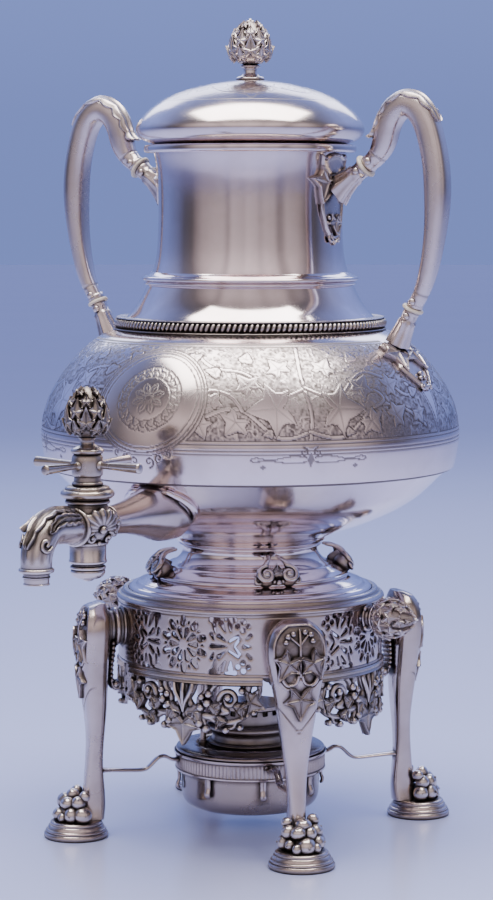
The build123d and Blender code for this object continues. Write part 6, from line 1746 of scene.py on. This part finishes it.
for q in (-1, 1):
    sc = spiral(q * 8.4, 33.0, 3.4, 0.6, 0, 1.1 * q, 26)
    tube(a, surf(sc[:, 0], sc[:, 1], np.full(len(sc), 0.5)), 0.85, sides=8)
a.build("spout_acanthus", CAST, "urn", "spout", OXIDE, angle=50)
a = Acc()
S0 = (0.0, -204.5)
lathe(a, chain([(4.0, 164.6), (7.4, 164.6)], spline([(7.4, 164.6), (8.3, 164.0), (8.3, 162.8), (7.4, 162.2)], 4), [(6.3, 161.8), (6.1, 160.6)], spline([(6.1, 160.6), (6.7, 160.2), (6.1, 159.6)], 3), [(5.9, 157.4), (6.3, 156.9), (6.1, 156.4),
               (4.2, 156.4), (4.0, 156.8)]), 96, centre=S0)
a.build("spout_mouth", CAST, "urn", "spout_nozzle", OXIDE)

# key: plug, cross handle, bud
a = Acc()
lathe(a, chain([(0.02, 199.2), (7.0, 199.2)], spline([(7.0, 199.2), (7.6, 199.8), (7.2, 200.8), (6.6, 201.2)], 4), [(6.4, 203.4)], spline([(6.4, 203.4), (7.2, 204.0), (7.6, 206.0), (7.7, 209.0), (7.6, 212.0), (7.0, 213.6), (6.4, 214.2)], 4),
               spline([(6.4, 214.2), (7.6, 215.0), (8.0, 216.0), (7.2, 217.0), (5.6, 217.8)], 4), spline([(5.6, 217.8), (3.7, 219.0), (3.4, 220.6), (4.4, 222.2)], 4), [(0.02, 222.2)]), 96, closed=False, centre=V)
for k in range(4):
    az = math.radians(-6.15 + 90.0 * k)
    d = np.array([math.sin(az), -math.cos(az), 0.0])
    M = matrix_from(np.array([math.cos(az), math.sin(az), 0.0]), np.array([0, 0, 1.0]), d, (0, -160.0, 209.0))
    turned(a, chain(spline([(2.1, 6.6), (2.3, 7.6), (1.7, 8.6)], 4), [(1.45, 9.0)], spline([(1.45, 9.0), (1.6, 14.0), (2.0, 22.0), (2.4, 30.6)], 6), spline([(2.4, 30.6), (2.35, 31.8), (1.5, 32.3), (0.02, 32.4)], 4)), M, 40)
a.build("tap_cross", CAST, "tap_key", "tap_hub", OXIDE)
a = Acc()
TAPBUD = [(4.4, 222.2), (8.4, 224.6), (10.3, 229.6), (9.6, 235.6), (6.8, 241.6), (3.4, 245.6), (1.0, 247.0)]
bud(a, TAPBUD, [(240.0, 6, 5.4, 0.5, 0.05, 0.60), (235.4, 6, 7.0, 0.0, 0.12, 0.60), (230.2, 6, 7.6, 0.5, 0.30, 0.62), (226.6, 6, 5.2, 0.0, 0.36, 0.70), (244.0, 4, 3.4, 0.0, 0.0, 0.6)], axis=VALVE)
a.build("tap_bud", CAST, "tap_key", "tap_finial", OXIDE)

# the three small turned nodes that keep their own shape take the same metals
for node_name, metal, finish in (("snuffer", LAMPMAT, SILVER), ("snuffer_post", LAMPMAT, SILVER), ("tap_plug", CAST, OXIDE)):
    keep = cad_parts[node_name]
    if not keep.material_slots:
        keep.data.materials.append(metal)
    for ms in keep.material_slots:
        ms.material = metal



# ------------------------------------------------------------------ floor, light
def floor():
    me = bpy.data.meshes.new("floor")
    n = 96
    rings = [0.0, 0.3, 0.8, 2.0, 5.0, 12.0]
    v = [(0, 0, 0)]
    f = []
    for r in rings[1:]:
        v += [(r * math.cos(TAU * k / n), r * math.sin(TAU * k / n), 0) for k in range(n)]
    for k in range(n):
        f.append((0, 1 + k, 1 + (k + 1) % n))
    for q in range(len(rings) - 2):
        b = 1 + q * n
        for k in range(n):
            f.append((b + k, b + n + k, b + n + (k + 1) % n, b + (k + 1) % n))
    me.from_pydata(v, [], f)
    m, nt, bsdf = new_material("pale_floor")
    tc = nt.nodes.new("ShaderNodeTexCoord")
    nz = node(nt, "ShaderNodeTexNoise", Scale=3.0, Detail=3.0)
    nt.links.new(tc.outputs["Object"], nz.inputs["Vector"])
    c = ramp(nt, nz.outputs["Fac"], [(0.3, (0.46, 0.498, 0.777)), (0.7, (0.474, 0.512, 0.79))])
    nt.links.new(c, bsdf.inputs["Base Color"])
    bsdf.inputs["Roughness"].default_value = 0.22
    me.materials.append(m)
    o = bpy.data.objects.new("floor", me)
    bpy.context.scene.collection.objects.link(o)


floor()
F = Vector((math.sin(VIEW_AZ), -math.cos(VIEW_AZ), 0))     # from the axis towards the camera


def softbox(name, place, target, size, power, color=(1, 1, 1), mirrored=True):
    d = bpy.data.lights.new(name, "AREA")
    d.shape = "RECTANGLE"
    d.size, d.size_y = size
    d.energy = power
    d.color = color
    o = bpy.data.objects.new(name, d)
    o.location = place
    o.rotation_euler = (Vector(target) - Vector(place)).to_track_quat("-Z", "Y").to_euler()
    bpy.context.scene.collection.objects.link(o)
    o.visible_glossy = mirrored
    return o


up = Vector((0, 0, 1))
softbox("overhead", F * 0.10 + up * 1.55, (0, 0, 0.3), (1.5, 0.85), 42, (1.0, 0.975, 0.96))
softbox("left_front", F * 1.1 - right * 1.6 + up * 0.75, (0, 0, 0.25), (1.9, 1.5), 6, (1.0, 0.95, 0.94), mirrored=False)
softbox("right_front", F * 1.3 + right * 1.5 + up * 0.6, (0, 0, 0.25), (0.8, 1.2), 1.7, (1.0, 0.94, 0.93), mirrored=False)
softbox("front_fill", F * 2.4 + up * 1.0, F * 2.2, (2.6, 1.2), 32, (1.0, 0.93, 0.94), mirrored=False)
softbox("back_glow", -F * 1.6 + up * 1.3, (0, 0, 0.2), (1.8, 0.8), 16, (0.80, 0.86, 1.0))

world = bpy.data.worlds.new("studio")
bpy.context.scene.world = world
world.use_nodes = True
nt = world.node_tree
nt.nodes.clear()
wout = nt.nodes.new("ShaderNodeOutputWorld")
bg = nt.nodes.new("ShaderNodeBackground")
nt.links.new(bg.outputs[0], wout.inputs[0])
tc = nt.nodes.new("ShaderNodeTexCoord")
sep = nt.nodes.new("ShaderNodeSeparateXYZ")
nt.links.new(tc.outputs["Generated"], sep.inputs[0])
# the room on the viewer's side is warm grey with soft upright bands, the far side pale blue
dotf = math_node(nt, "ADD", math_node(nt, "MULTIPLY", sep.outputs["X"], F.x), math_node(nt, "MULTIPLY", sep.outputs["Y"], F.y))
side = ramp(nt, math_node(nt, "MULTIPLY", math_node(nt, "ADD", dotf, 1.0), 0.5),
            [(0.20, (0.34, 0.455, 1.14)), (0.38, (0.27, 0.32, 0.66)), (0.50, (0.17, 0.17, 0.25)), (0.61, (0.20, 0.18, 0.205)), (0.74, (0.74, 0.635, 0.665)), (0.86, (0.92, 0.795, 0.83)), (1.0, (0.98, 0.85, 0.89))])
dotr = math_node(nt, "ADD", math_node(nt, "MULTIPLY", sep.outputs["X"], right.x), math_node(nt, "MULTIPLY", sep.outputs["Y"], right.y))
bands = ramp(nt, math_node(nt, "MULTIPLY", math_node(nt, "ADD", dotr, 1.0), 0.5),
             [(0.0, 1.0), (0.22, 1.0), (0.27, 0.62), (0.31, 1.1), (0.43, 0.92), (0.47, 1.12), (0.56, 1.0), (0.60, 0.80), (0.66, 1.0), (0.74, 0.95), (0.785, 0.52), (0.815, 0.56), (0.86, 1.0), (1.0, 1.0)])
front = math_node(nt, "MULTIPLY", math_node(nt, "ADD", dotf, -0.1), 3.0, clamp=True)
bmix = nt.nodes.new("ShaderNodeMix")
bmix.data_type = "RGBA"
nt.links.new(front, bmix.inputs["Factor"])
bmix.inputs["A"].default_value = (1, 1, 1, 1)
nt.links.new(bands, bmix.inputs["B"])
bm = nt.nodes.new("ShaderNodeMix")
bm.data_type = "RGBA"
bm.blend_type = "MULTIPLY"
bm.inputs["Factor"].default_value = 1.0
nt.links.new(side, bm.inputs["A"])
nt.links.new(bmix.outputs["Result"], bm.inputs["B"])
side = bm.outputs["Result"]
height = ramp(nt, sep.outputs["Z"], [(0.0, 0.47), (0.03, 0.478), (0.20, 0.72), (0.50, 1.0), (0.85, 0.52)])
mul = nt.nodes.new("ShaderNodeMix")
mul.data_type = "RGBA"
mul.blend_type = "MULTIPLY"
mul.inputs["Factor"].default_value = 1.0
nt.links.new(side, mul.inputs["A"])
nt.links.new(height, mul.inputs["B"])
nt.links.new(mul.outputs["Result"], bg.inputs["Color"])
bg.inputs["Strength"].default_value = 1.25
